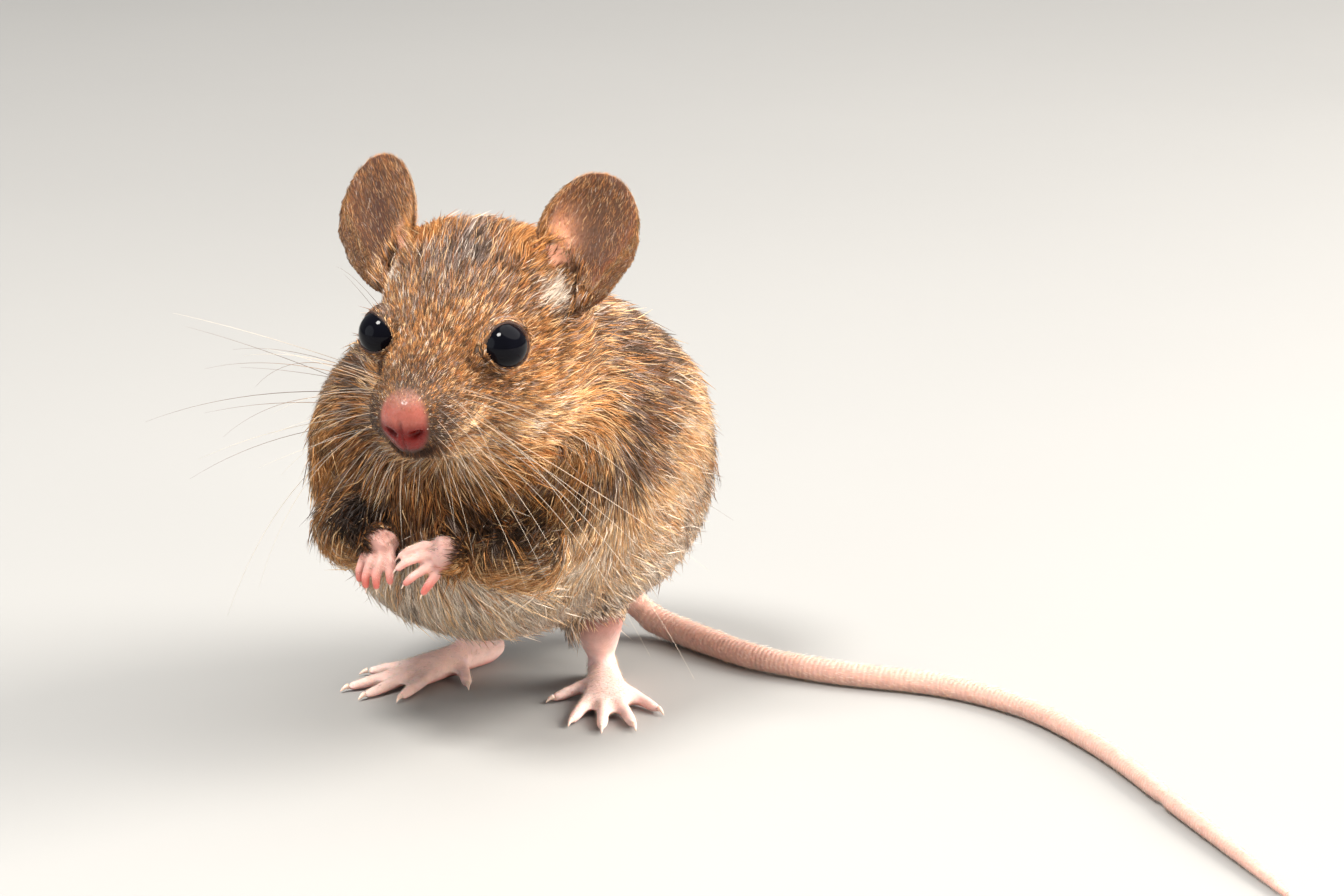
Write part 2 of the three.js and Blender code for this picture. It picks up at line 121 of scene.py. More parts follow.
copies = [linked(f"flesh_{name}", frame["nodes"][name].data.copy()) for name in modelled]
for name, copy in zip(modelled, copies):
    if name.startswith("ear"):
        applied(copy, "WELD", merge_threshold=SAME_POINT)
        applied(copy, "SUBSURF", levels=2, render_levels=2)
solid_points, solid_faces, part_of_face = [], [], []
for number, copy in enumerate(copies):
    loose = bmesh.new()
    loose.from_mesh(copy.data)
    bmesh.ops.remove_doubles(loose, verts=loose.verts, dist=SAME_POINT)
    loose.normal_update()
    first = len(solid_points)
    solid_points += [v.co.copy() for v in loose.verts]
    solid_faces += [[first + v.index for v in f.verts] for f in loose.faces]
    part_of_face += [number] * len(loose.faces)
    swell = HAND_SWELL if modelled[number].startswith("hand") else SWELL
    for v in loose.verts:
        v.co += v.normal * swell
    loose.to_mesh(copy.data)
    loose.free()
picked(*[copy for name, copy in zip(modelled, copies) if name.startswith("hand")])
bpy.ops.object.join()
hands = bpy.context.object
applied(hands, "REMESH", mode="VOXEL", voxel_size=HAND_GRAIN)
picked(*[copy for name, copy in zip(modelled, copies) if not name.startswith("hand")])
bpy.ops.object.join()
skin = bpy.context.object
skin.name = skin.data.name = "skin"
applied(skin, "REMESH", mode="VOXEL", voxel_size=GRAIN)

# Where a cut stayed open inside the body, the pocket is a loose shell of its own, and goes.
with editing():
    bpy.ops.mesh.select_mode(type="VERT")
    bpy.ops.mesh.select_all(action="DESELECT")
max(skin.data.vertices, key=lambda v: v.co.z).select = True
with editing():
    bpy.ops.mesh.select_linked()
    bpy.ops.mesh.select_all(action="INVERT")
    bpy.ops.mesh.delete(type="VERT")
picked(skin, hands)
bpy.ops.object.join()


def read(items, name, width=3, kind=float):
    """A property of a mesh's points or edges, with a row for each."""
    values = np.empty(len(items) * width, kind)
    items.foreach_get(name, values)
    return values.reshape(-1, width)


def normals_of(mesh):
    return read(mesh.vertices, "normal")


def moved(mesh, points):
    """Puts the mesh's points at these places and brings its normals up to date."""
    mesh.vertices.foreach_set("co", points.ravel())
    mesh.update()


def relaxed(values, rounds, share=1.0):
    """Draws each value on the skin towards the mean of its neighbours', which evens it out."""
    values = np.array(values, float)
    columns = values.reshape(len(values), -1)
    many = len(values)
    count = np.bincount(ends.ravel(), minlength=many).clip(1)[:, None]
    share = np.broadcast_to(np.asarray(share, float).reshape(-1, 1), (many, 1))
    start, end = ends[:, 0], ends[:, 1]
    for _ in range(rounds):
        sums = [np.bincount(start, c[end], many) + np.bincount(end, c[start], many) for c in columns.T]
        columns += share * (np.stack(sums, 1) / count - columns)
    return values


def unit(vectors):
    return vectors / np.linalg.norm(vectors, axis=-1, keepdims=True).clip(1e-12)


def parts_at(points):
    """The number of the solid that lies nearest to each point."""
    return np.array([part_of_face[solids.find_nearest(p)[2]] for p in points.tolist()])


def marked(*names):
    """1 on the parts of the skin whose names start with one of these words, else 0."""
    hits = np.array([any(name.startswith(word) for word in names) for name in modelled], float)
    return hits[part]


solids = BVHTree.FromPolygons(solid_points, solid_faces)
skin_at = read(skin.data.vertices, "co")
part = parts_at(skin_at)
ends = read(skin.data.edges, "vertices", 2, np.int32)
skin_at = relaxed(skin_at, SMOOTH_ROUNDS, relaxed(smoothing[part], 4))
thin = relaxed(marked("ear"), 2)
for _ in range(EAR_ROUNDS):  # evens the ears without shrinking them
    skin_at = relaxed(relaxed(skin_at, 1, 0.6 * thin), 1, -0.62 * thin)
skin.data.vertices.foreach_set("co", skin_at.ravel())

# The body's skin is wholly under the coat, so it keeps only an eighth of its faces.
skin.data.vertices.foreach_set("select", marked("trunk", "neck", "thigh", "upper_arm") > 0)
with editing():
    bpy.ops.mesh.decimate(ratio=HIDDEN_SHARE)

# ---- skin: drawn in under the coat -----------------------
# The coat is longest on the body, short on the face and absent on bare skin, and the skin lies as deep
# below the outside as the coat is thick. The head's own frame is set by the eyes and the nose.
EYES_FROM_ORIGIN = np.array([0, -9.9, 3.6]) * MM  # midway between the eyes, in the head's own frame
NOSE_DROP = atan2(4.0, 10.9)  # slope of the line from there to the middle of the nose
RUMP_Y = 31 * MM
skin_at = read(skin.data.vertices, "co")
part = parts_at(skin_at)
ends = read(skin.data.edges, "vertices", 2, np.int32)


def middle(name):
    low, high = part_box(name)
    return np.array((low + high) / 2)


head_x = unit(middle("eye_left") - middle("eye_right"))
between_eyes = (middle("eye_left") + middle("eye_right")) / 2
to_nose = unit(middle("nose") - between_eyes)
across = np.cross(head_x, to_nose)
head_y = unit(sin(NOSE_DROP) * across - cos(NOSE_DROP) * to_nose)
head_z = np.cross(head_x, head_y)
head_axes = np.stack([head_x, head_y, head_z])  # left, back and up
head_origin = between_eyes - EYES_FROM_ORIGIN @ head_axes
thigh_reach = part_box("thigh_left")[1].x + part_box("thigh_right")[0].x
body_origin = np.array([thigh_reach / 2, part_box("trunk")[1].y - RUMP_Y, 0])  # on the floor, mid-body


def in_head(points):
    """Millimetres to the left of, behind and above the point between the ears."""
    return (points - head_origin) @ head_axes.T / MM


def in_body(points):
    """Millimetres to the left of, behind and above the middle of the body's footprint."""
    return (points - body_origin) / MM


def from_head(places):
    return np.asarray(places, float) * MM @ head_axes + head_origin


def from_body(places):
    return np.asarray(places, float) * MM + body_origin


def mirrored(places):
    """The places, with those on the right carried over to the left."""
    return np.concatenate([np.abs(places[:, :1]), places[:, 1:]], 1)


def sides_of(places):
    """What carries each place over to the left and back: -1 along x for those on the right, else 1."""
    return np.where(places[:, :1] < 0, -1.0, 1.0) * [1, 0, 0] + [0, 1, 1]


def distance(places, spot):
    return np.linalg.norm(places - spot, axis=1)


def eased(x, low, high):
    """0 below low, 1 above high and smooth between; low may be the larger."""
    t = np.clip((x - low) / (high - low), 0, 1)
    return t * t * (3 - 2 * t)


def near(places, centre, reach):
    """1 at the centre, fading smoothly with distance."""
    return np.exp(-(((places - centre) / reach) ** 2).sum(-1))


def tone(*levels):
    """A colour on the maker's card, 0 to 255 a channel, as light."""
    share = np.asarray(levels, float) / 255
    return np.where(share <= 0.04045, share / 12.92, ((share + 0.055) / 1.055) ** 2.4)


NOSE_TIP = from_head([0, -22.6, -0.4])
from_nose = distance(skin_at, NOSE_TIP) / MM
on_head = np.interp(from_nose, [2, 6, 14, 24], [0.15, 0.3, 0.8, 1.6])
depth = relaxed(np.where(marked("head", "eye") > 0, on_head, coat_depth[part]), 10)
depth *= 1 - 0.75 * near(mirrored(in_head(skin_at)), [7.2, 1, 9.2], [3, 3, 3.2])  # less before the ears
skin.data.update()
swollen = relaxed(SWELL + (HAND_SWELL - SWELL) * marked("hand"), 2)
skin_at = skin_at - normals_of(skin.data) * (depth * MM + swollen)[:, None]
skin_at = relaxed(skin_at, 4, marked("trunk", "neck", "thigh", "upper_arm", "head") * 0.5)
moved(skin.data, skin_at)

# ---- skin: lids, nostrils and mouth ----------------------
# The lids are thin rims that hug the bulging eyes, drawn to a point towards the nose. The nostrils are two
# small pits with a groove between them, which runs down to the split upper lip.
EYE_MIDDLE = np.array([6.8, -9.9, 3.6])  # of the left one, in the head's frame
EYE_RADIUS = 2.55
LID_AXIS = {1: unit(np.array([0.75, -0.57, 0.33])), -1: unit(np.array([0.45, -0.8, 0.39]))}  # left, right
LID_CORNER = np.array([-0.86, -0.48, -0.15])  # from the eye towards its inner corner
OPENING = 66  # degrees from the axis to the lid's edge, front and rear
NARROWED = {1: 2, -1: 18}  # degrees less above and below; the right eye is half closed
CORNER_REACH = {1: 5, -1: 3}
NOSTRIL = np.array([1.15, -22.3, -1.7])
NOSTRIL_SLOT = NOSTRIL + [0.5, 0.3, 0.3]  # the pit runs on outwards, as a narrow slot
PIT_DEPTH = 0.75
GROOVE_DEPTH = 0.35
MOUTH_FRONT = np.array([0, -20.8, -5.2])
MOUTH_CORNER = np.array([4.2, -15.4, -6.2])
MOUTH_WIDTH = 0.4
MOUTH_DEPTH = 0.55 * MM
PUSHES = [  # places and reaches in the head's frame, and the way the skin is pushed, as by a thumb in clay
    ([0, -21.4, -3.2], [2.0, 2.0, 1.6], [0, -0.1, -0.7]),  # upper lip
    ([0, -19.8, -5.0], [3.2, 2.4, 1.5], [0, -0.3, -0.8]),  # chin
    ([3.2, -19.6, -1.8], [1.4, 1.8, 1.6], [0.35, -0.35, -0.2]),  # whisker pads
    ([4.3, -13.0, 4.6], [1.5, 1.9, 1.8], [-0.25, 0.25, -0.4]),  # hollows before the eyes
]

with editing():
    bpy.ops.mesh.select_all(action="DESELECT")
places = in_head(skin_at)
fine = (distance(mirrored(places), EYE_MIDDLE) < 3.9) | (distance(places, [0, -20.6, -1.5]) < 4.6)
skin.data.vertices.foreach_set("select", fine)
picked(skin)
with editing():
    bpy.ops.mesh.subdivide(number_cuts=1)
skin_at = read(skin.data.vertices, "co")
ends = read(skin.data.edges, "vertices", 2, np.int32)


def lid_gap(points):
    """Degrees from the edge of the nearer eye's lids, minus inside them, and distance from its middle."""
    best = np.full(len(points), 180.0)
    reach = np.full(len(points), 99.0)
    for side in (1, -1):
        out = in_head(points) * [side, 1, 1] - EYE_MIDDLE
        away = unit(out)
        axis = LID_AXIS[side]
        angle = np.degrees(np.arccos(np.clip(away @ axis, -1, 1)))
        sideways = unit(away - (away @ axis)[:, None] * axis)
        corner = unit(LID_CORNER - (LID_CORNER @ axis) * axis)
        tall = unit(np.cross(axis, corner))
        edge = OPENING - NARROWED[side] * (sideways @ tall) ** 2
        edge = edge + CORNER_REACH[side] * eased(sideways @ corner, 0.8, 1)
        far = np.linalg.norm(out, axis=1)
        nearer = far < reach
        best = np.where(nearer, angle - edge, best)
        reach = np.where(nearer, far, reach)
    return best, reach


def from_line(places, a, b):
    """From the nearest spot of the line a to b to each place, and how far along the line that spot is."""
    share = np.clip((places - a) @ (b - a) / ((b - a) ** 2).sum(), 0, 1)
    return places - a - share[:, None] * (b - a), share


gap, reach = lid_gap(skin_at)
rim = EYE_RADIUS + 0.06 + 0.1 * np.exp(-(((gap - 3) / 4) ** 2))
goal = np.maximum(reach, rim)
goal += (EYE_RADIUS - 0.4 - goal) * eased(gap, 0.5, -4)
goal = np.where(reach < EYE_RADIUS + 1.6, goal, reach)
places = in_head(skin_at)
flip = sides_of(places)
out = places * flip - EYE_MIDDLE
skin_at = from_head((EYE_MIDDLE + unit(out) * goal[:, None]) * flip)
around_lids = (gap > 5) * (reach < EYE_RADIUS + 1.2)
skin_at = relaxed(skin_at, 3, 0.5 * around_lids)
nose_root = near(in_head(skin_at), [0, -20, 0.4], [3.2, 2.2, 3.4])
places = in_head(relaxed(skin_at, 14, 0.7 * nose_root))  # it runs smoothly into the muzzle
for centre, radii, push in PUSHES:
    flip = sides_of(places)
    places = places + near(places * flip, centre, radii)[:, None] * push * flip
sided = mirrored(places)
pit = near(sided, NOSTRIL, [0.55, 1.2, 0.42]) + near(sided, NOSTRIL_SLOT, [0.5, 1.2, 0.3]) * 0.7
groove = near(places * [1, 1, 0], [0, -22.6, 0], [0.22, 1.6, 1]) * eased(places[:, 2], 0.4, -0.8)
groove *= eased(places[:, 2], -6, -4)
places[:, 1] += PIT_DEPTH * pit + GROOVE_DEPTH * groove
off, along = from_line(sided, MOUTH_FRONT, MOUTH_CORNER)
slit = np.exp(-((np.linalg.norm(off, axis=1) / MOUTH_WIDTH) ** 2)) * (1 - 0.6 * along)
skin_at = from_head(places)
moved(skin.data, skin_at)
skin_at = skin_at - normals_of(skin.data) * (MOUTH_DEPTH * slit)[:, None]
moved(skin.data, skin_at)
part = parts_at(skin_at)
skin.data.shade_smooth()

# ---- skin: colour and finish -----------------------------
# Bare skin is pink, darker and browner on the ears, pale on the paws, ringed with fine scales on the tail.
# Under the coat it takes the coat's own markings, dark as fur is at its roots and with painted shade of the
# coat over it.
CARD = [(206, 142, 80), (160, 96, 48), (240, 200, 150), (96, 60, 34), (34, 24, 20), (146, 128, 120)]
CARD += [(242, 228, 212)]  # gold, amber, cream, brown, dark, grey and white
PALETTE = np.stack([tone(*levels) for levels in CARD])
# A pale band along the haunch: partly the coat's own cream and gold fur, partly painted sunlight falling
# from the right and behind.
HAUNCH_PALE_AND_LIT_BAND = [[18, 14, 37], [19, 12.2, 33.5], [19.6, 10, 29.5], [19.4, 7.5, 25.6], [18.8, 1.1, 23.2]]
HAUNCH_PALE_AND_LIT_BAND += [[17.7, -6.6, 22.2], [15.5, -12, 21.6]]
# A dark band down the flank behind the shoulder: partly the coat's own dark fur, partly painted shade where
# the body curves away behind the cheek.
DARK_FUR_AND_SHADE_BAND = [[15.1, 8.9, 40.6], [17.9, 0.4, 36.1], [18.9, -4.1, 32.5], [18.7, -7.4, 29]]
DARK_FUR_AND_SHADE_BAND += [[17.6, -12.2, 27.2], [16, -16.8, 26.8]]
SHOULDER = [[16.6, -7, 40], [16.5, -10.5, 36.5], [16.3, -13.5, 33], [14.8, -17, 29.5]]
BLACK = [0, 0.2, 0, 1, 12, 0, 0]  # parts of the palette's colours
CUFFS = [[6.7, -22.1, 22.8], [-3.9, -22.7, 24.2]]  # fur comes down over the wrists this far
EAR_ROOT = [9.2, 0.2, 2.4]  # of the left one, in the head's frame
EAR_SIZE = [5.9, 1, 16.2]  # half width and length; the depth stays in millimetres
EAR_TURNS = (17, 14, -27)  # degrees about z, y and x
TAIL_LINE = [[0.2, 22, 9.5], [1, 26.4, 6.8], [3.4, 28.8, 3.2], [8, 27.8, 0.8], [13.4, 25.2, 0]]
TAIL_LINE += [[20.5, 22.1, 0], [31, 20.8, 0], [44, 21.6, 0], [55, 18, 0], [67.3, 8.6, 0], [81.5, -6.2, 0]]
TAIL_LINE += [[101.5, -27.3, 0]]
SCALE_RING = 0.62  # millimetres of tail to one ring of scales


def along_line(places, line, reach):
    """1 on a line of points, fading smoothly with distance."""
    line = np.asarray(line, float)
    return np.max([near(from_line(places, a, b)[0], 0, reach) for a, b in zip(line[:-1], line[1:])], axis=0)


def on_body(centre, reach, strength=1.0):
    """1 near a place on the body, and near its mirror image."""
    return near(body_sided, centre, reach) * strength


def on_face(centre, reach, strength=1.0):
    return face * near(head_sided, centre, reach) * strength


def turned(axis, degrees):
    """What turns places by an angle about x, y or z, which is axis 0, 1 or 2."""
    a, b = (axis + 1) % 3, (axis + 2) % 3
    turn = np.eye(3)
    turn[a, a] = turn[b, b] = cos(radians(degrees))
    turn[b, a] = sin(radians(degrees))
    turn[a, b] = -turn[b, a]
    return turn


def in_ear(points):
    """Places on an ear: share of its half width, distance behind its middle and share of its length."""
    about_z, about_y, about_x = (turned(axis, angle) for axis, angle in zip((2, 1, 0), EAR_TURNS))
    return (mirrored(in_head(points)) - EAR_ROOT) @ (about_x @ about_y @ about_z) / EAR_SIZE


def in_hollow(centre, reach):
    """1 at a place in the ears' hollows, given by its shares of the half width and the length."""
    return near(leaf[:, ::2], centre, reach) * (facing < 0)


def tinted(colours, *tints):
    """Moves the colours towards others where their masks are set, by a share, one after another."""
    for mask, goal, share in tints:
        colours = colours + mask[:, None] * (goal - colours) * share
    return colours


def painted(mesh, name, values):
    """Gives each point of the mesh its value, or its colour, under a name."""
    if values.ndim > 1:
        layer = mesh.attributes.new(name, "FLOAT_COLOR", "POINT")
        layer.data.foreach_set("color", np.concatenate([values, np.ones((len(values), 1))], 1).ravel())
    else:
        layer = mesh.attributes.new(name, "FLOAT", "POINT")
        layer.data.foreach_set("value", values)


skin_normals = normals_of(skin.data)
head = in_head(skin_at)
body = in_body(skin_at)
head_sided = mirrored(head)
body_sided = mirrored(body)
hand_like = marked("hand")
paw_like = marked("hand", "foot")
ear_like = marked("ear")
tail_like = marked("tail")
up = skin_normals[:, 2]
high = body[:, 2]
face = marked("head", "lower_jaw", "ear", "nose", "eye")
belly = np.maximum(eased(up, 0.05, -0.45) * eased(high, 30, 19), eased(high, 20.5, 17.5) * 0.95)
arm_top = marked("forearm", "upper_arm") * eased(up, -0.1, 0.4)
arm_low = marked("forearm") * eased(up, 0.1, -0.35)
arm_low = np.maximum(arm_low, on_body([10.4, -21.4, 21.8], [4.4, 2.6, 1.7], 1.2))
leg = marked("thigh", "shank") * eased(high, 15.5, 12.5)
wrist = hand_like * np.max([near(body, spot, 2.4) for spot in CUFFS], axis=0) * 3
layers = [  # where, and the parts of each colour that are mixed in there, one layer over the last
    (np.ones(len(skin_at)), [1.5, 1.2, 1.4, 2.8, 3.4, 4.6, 0.5]),  # the back
    (along_line(body_sided, SHOULDER, 4), [6.2, 1.4, 6, 0.8, 0.5, 0.4, 0.9]),
    (on_body([17.6, -9.8, 34], [3, 3.6, 3.6], 0.9), [6, 1, 7.5, 0.4, 0.2, 0, 1.2]),
    # the dark flank band: dark fur with painted shade
    (along_line(body_sided, DARK_FUR_AND_SHADE_BAND, 2.9) * 0.95, [0.8, 1, 0.5, 3.6, 5, 2.8, 0.1]),
    (along_line(body_sided, DARK_FUR_AND_SHADE_BAND[3:], 2.9) * 0.7, [0.5, 1.4, 0.2, 4, 6, 0.8, 0]),
    # the haunch band: pale fur with painted light on it
    (along_line(body_sided, HAUNCH_PALE_AND_LIT_BAND, 4) * 1.3, [5, 0.2, 9, 0, 0, 0, 3.6]),
    (belly, [0.8, 0.1, 3.4, 0.2, 0.1, 1.6, 8]),
    (on_body([12, -18, 31], 6, 0.9), [7.5, 2.6, 3.2, 1.2, 0.6, 0, 0]),  # breast, at the sides
    (near(body, [1, -22, 29], [8, 6, 6]) * 0.95, [4.4, 2.6, 1.6, 3.6, 2.4, 0.2, 0.1]),  # and its middle
    # painted shade on the right shoulder and the side of the neck beside the face
    (near(body, [-9, -19.3, 34.5], [4.5, 4.5, 5]) * 0.9, [2.6, 2.2, 1, 3.6, 3.6, 1, 0]),
    (arm_top * near(body, [9.5, -19, 26.8], [6.5, 5, 3.2]), BLACK),
    (near(body, [-5.2, -21.8, 25.6], [4.2, 3.2, 2.6]) * 1.3, BLACK),  # over the wrists
    (near(body, [9, -20.6, 26.4], [4.6, 3, 1.9]) * 1.2, BLACK),
    (arm_low, [7, 2, 6, 0.8, 0.3, 0, 1.4]),
    # its lower part whiter still, more painted light
    (along_line(body_sided, HAUNCH_PALE_AND_LIT_BAND[2:], 3.6) * 1.3, [4, 0, 9, 0, 0, 0, 5]),
    (leg, [0.6, 0.2, 3, 1, 0.2, 4, 5]),
    (on_body([15.6, -8.5, 18.6], [3.4, 5.5, 3.2], 1.2), [2, 0, 7, 0, 0, 0, 7]),  # low flank
    (face, [4.6, 2.6, 2, 3.6, 3.6, 1.8, 0.4]),
    (on_face([8, -9, -5], [4.4, 7, 5], 0.95), [5.8, 2.8, 3.6, 2.2, 1.9, 0.9, 0.6]),  # cheeks
    (on_face([0, -2.5, 10.8], [7, 7, 4.6], 1.1), [0.4, 1, 1, 3, 4.8, 8.4, 1.2]),  # crown
    (on_face([0, -18.2, 3.2], [3.5, 3.2, 2.6], 1.1), [0.9, 1.3, 0.7, 4.6, 5, 1.6, 0.2]),  # nose's bridge
    (on_face([2.9, -18.9, -1.4], [2.3, 2.8, 2.8], 1.4), [0.2, 0.5, 0.3, 3, 6, 3, 0.4]),  # whisker pads
    (on_face([5, -15.6, -2.9], [1.8, 2.6, 1.5]), [2.4, 0.3, 8, 0.6, 0.3, 0.4, 2.4]),  # cream behind
    (face * eased(head[:, 2], -5.8, -7.4) * 0.9, [3.4, 0.9, 6, 0.9, 0.3, 1, 2]),  # throat
    (on_face([1.2, -20.2, -4.8], [3.2, 2.8, 1.6], 1.3), [0.1, 1.4, 0, 4.5, 6, 0, 0]),  # mouth's edge
    (on_face([0.6, -17.8, -6.2], [2.6, 2, 1.2], 1.1), [0.3, 0.8, 0.2, 3, 6, 0.2, 0]),  # chin
    (near(head_sided, [5.4, 1.2, 10.4], [3, 2.6, 3]) * 1.3, [9, 4.2, 1.8, 1, 0, 0, 0]),  # ears' inner roots
    (on_face([7, -9.4, 7], [3, 3, 1.3], 0.9), [0.8, 0.8, 1.2, 2, 2.4, 6, 1]),  # brows
    (on_face([6.6, -12, -0.4], [2.6, 2.8, 2.1], 1.2), [1.6, 1.8, 0.8, 3.8, 4.4, 1.6, 0.1]),  # under eyes
    (paw_like, [0, 0, 3, 0, 0, 1, 8]),
    (wrist, [1, 0.8, 0.2, 2.4, 9, 0, 0]),
    (wrist * eased(up, 0.2, -0.4) * (body[:, 0] > 0), [6, 3, 3, 1.6, 1, 0, 0]),
    (near(head_sided, [9.4, -0.9, 5.9], [1.4, 1.8, 1.7]) * 2, [0, 0, 1, 0, 0, 0, 12]),  # pale tuft
]
coat_mix = np.zeros((len(skin_at), len(PALETTE)))  # the share of each of the palette's colours
for mask, recipe in layers:
    goal = np.array(recipe, float) / sum(recipe)
    coat_mix = tinted(coat_mix, (np.clip(mask, 0, 1), goal, 1))
coat_mix /= coat_mix.sum(1, keepdims=True)
# darkened: the roots' own colour and painted shade under the coat
under = relaxed(coat_mix, 6) @ PALETTE * 0.4
nose_like = eased((((head - [-0.1, -21.8, -0.7]) / [2.7, 3.6, 4]) ** 2).sum(1), 1.25, 0.7)
nose_like *= eased(head[:, 2], -4.3, -3.6)
up_leg = marked("foot", "shank") * eased(high, 4.5, 10)
to_cuff = np.min([distance(body, spot) for spot in CUFFS], axis=0)
pads = paw_like * eased(up, -0.2, -0.8)
# The right hand is painted darker than the left, as painted shade; the left one is lit.
pink = np.where(body[:, :1] > 0, tone(230, 186, 176), tone(206, 160, 150))
bare = tinted(
    np.tile(tone(238, 204, 196), (len(skin_at), 1)),
    (up_leg, tone(164, 118, 108), 1),
    (hand_like, pink, 1),
    (hand_like * eased(to_cuff, 3.8, 2.2), tone(152, 104, 90), 0.75),
    (hand_like * eased(high, 22, 19.8), tone(204, 104, 92), 0.9),  # fingertips
    (pads, tone(214, 140, 128), 0.8),
)
leaf = in_ear(skin_at)
facing = in_ear(skin_at + skin_normals * MM)[:, 1] - leaf[:, 1]  # minus in the hollow, at the front
middle_of_ear = in_hollow([0.05, 0.52], [0.5, 0.3])
glow = in_hollow([-0.55, 0.41], [0.34, 0.21]) * eased(head[:, 0], -1, 1)  # where light shines through
shadow = in_hollow([-0.9, 0.75], [0.16, 0.22])
shadow = np.where(head[:, 0] < 0, in_hollow([0.14, 0.62], [0.17, 0.4]), shadow)
ear_rim = eased(np.abs(facing), 0.75, 0.35) * ear_like * eased(leaf[:, 2], 0.15, 0.3)
ear_tone = tinted(
    np.tile(tone(86, 58, 40), (len(skin_at), 1)),
    (middle_of_ear, tone(86, 60, 46), 1),
    (glow, tone(255, 186, 152), 1),
    (in_hollow([0.1, 0.2], [0.3, 0.09]), tone(244, 206, 190), 0.9),
    (eased(leaf[:, 2], 0.72, 0.9) * (facing < 0), tone(74, 50, 36), 0.6),
    (shadow, tone(74, 46, 34), 0.85),
    (ear_rim, tone(206, 168, 128), 0.7),
)
# The nose is paler on top and dark red below: partly its own colour, partly painted shade as light falls
# from above, darkest on its underside.
nose_tone = tinted(
    tone(128, 96, 84),
    (eased(head[:, 2], 3, 0.4), tone(158, 88, 76), 1),
    (eased(head[:, 2], 0.1, -1.4), tone(116, 18, 10), 1),
    (eased(head[:, 2], -3.2, -4), tone(56, 28, 22), 1),
)
# painted shade in the nostrils' pits
nose_tone *= 1 - 0.5 * near(head_sided, NOSTRIL + [0.1, 0.6, 0], [0.6, 1.2, 0.5])[:, None]
# Bare pink skin before each ear, lit to the same painted glow of light shining through as the ear's hollow.
concha = near(head_sided, [8.6, 1.5, 8.9], [1.5, 2, 2]) * marked("head", "ear")  # before the ear
bare = tinted(
    bare,
    (ear_like, ear_tone, 1),
    (tail_like, tone(206, 164, 150), 1),
    (marked("head", "nose", "lower_jaw"), nose_tone, 1),
    (eased(concha, 0.1, 0.5), tone(255, 186, 156), 1),
)
gap, reach = lid_gap(skin_at)
lid_like = np.exp(-(((gap - 0.5) / 3) ** 2)) * (reach < EYE_RADIUS + 1)
cuff = eased(to_cuff, 2.5, 1.9)
is_bare = paw_like * (1 - cuff) + ear_like + tail_like + marked("shank") * eased(high, 13, 10.5)
is_bare = np.maximum(relaxed(np.clip(is_bare, 0, 1), 3), np.maximum(nose_like, concha))
corner_at = EYE_MIDDLE + unit(LID_CORNER * 1.1 + LID_AXIS[1] * 0.35) * (EYE_RADIUS + 0.5)
canthus = near(head_sided, corner_at, [0.75, 0.75, 0.6]) * (head[:, 0] > 0)  # the left eye's inner corner
colour = tinted(
    under,
    (is_bare, bare, 1),
    (lid_like, tone(50, 32, 30), 1),
    (slit, tone(34, 18, 16), 1),
    (canthus, tone(26, 18, 20), 1),
)
painted(skin.data, "skin_tone", colour)
painted(skin.data, "wet", np.maximum(nose_like, np.maximum(lid_like * (gap < 2.5), canthus > 0.5)))

tail_line = np.array(TAIL_LINE)
best = np.full(len(body), 1e9)
tail_along = np.zeros(len(body))
run = 0.0
for a, b in zip(tail_line[:-1], tail_line[1:]):
    away, share = from_line(body, a, b)
    off = np.linalg.norm(away, axis=1)
    span = np.linalg.norm(b - a)
    tail_along = np.where(off < best, run + share * span, tail_along)
    best = np.minimum(off, best)
    run += span
painted(skin.data, "tail_along", np.where(tail_like > 0, tail_along, 0))


def wired(made, inputs):
    """Gives a node's inputs their values, or joins them to other nodes' outputs."""
    for key, value in inputs.items():
        if isinstance(value, bpy.types.NodeSocket):
            made.id_data.links.new(value, made.inputs[key])
        else:
            made.inputs[key].default_value = value
    return made.outputs[0]


def node(tree, kind, inputs, **settings):
    """A new node's first output, when its inputs and settings are set."""
    made = tree.nodes.new(kind)
    for key, value in settings.items():
        setattr(made, key, value)
    return wired(made, inputs)


def material(name):
    """A new material, its tree and the plain surface shader in it."""
    made = bpy.data.materials.new(name)
    made.use_nodes = True
    return made, made.node_tree, made.node_tree.nodes["Principled BSDF"]


def noise(tree, scale, detail=3.0):
    """Noise that is fixed to the object."""
    where = tree.nodes.new("ShaderNodeTexCoord").outputs["Object"]
    return node(tree, "ShaderNodeTexNoise", {"Vector": where, "Scale": scale, "Detail": detail})


def patchy(tree, scale, low, high, detail=3.0):
    """A value that varies between two limits."""
    inputs = {"Value": noise(tree, scale, detail), "To Min": low, "To Max": high}
    return node(tree, "ShaderNodeMapRange", inputs)


def layer_of(tree, name, output):
    """What the mesh's points carry under a name."""
    made = tree.nodes.new("ShaderNodeAttribute")
    made.attribute_name = name
    return made.outputs[output]


def calculated(tree, operation, *values):
    return node(tree, "ShaderNodeMath", dict(enumerate(values)), operation=operation)


def bumped(tree, height, distance, strength):
    return node(tree, "ShaderNodeBump", {"Height": height, "Distance": distance, "Strength": strength})


def toned(tree, name, factor):
    """The colour that the mesh's points carry, darker or lighter by a factor."""
    inputs = {0: layer_of(tree, name, "Color"), "Scale": factor}
    return node(tree, "ShaderNodeVectorMath", inputs, operation="SCALE")


def ramped(tree, factor, *colours):
    """A colour between two."""
    ramp = tree.nodes.new("ShaderNodeValToRGB")
    for stop, colour in zip(ramp.color_ramp.elements, colours):
        stop.color = (*colour, 1)
    return wired(ramp, {"Fac": factor})


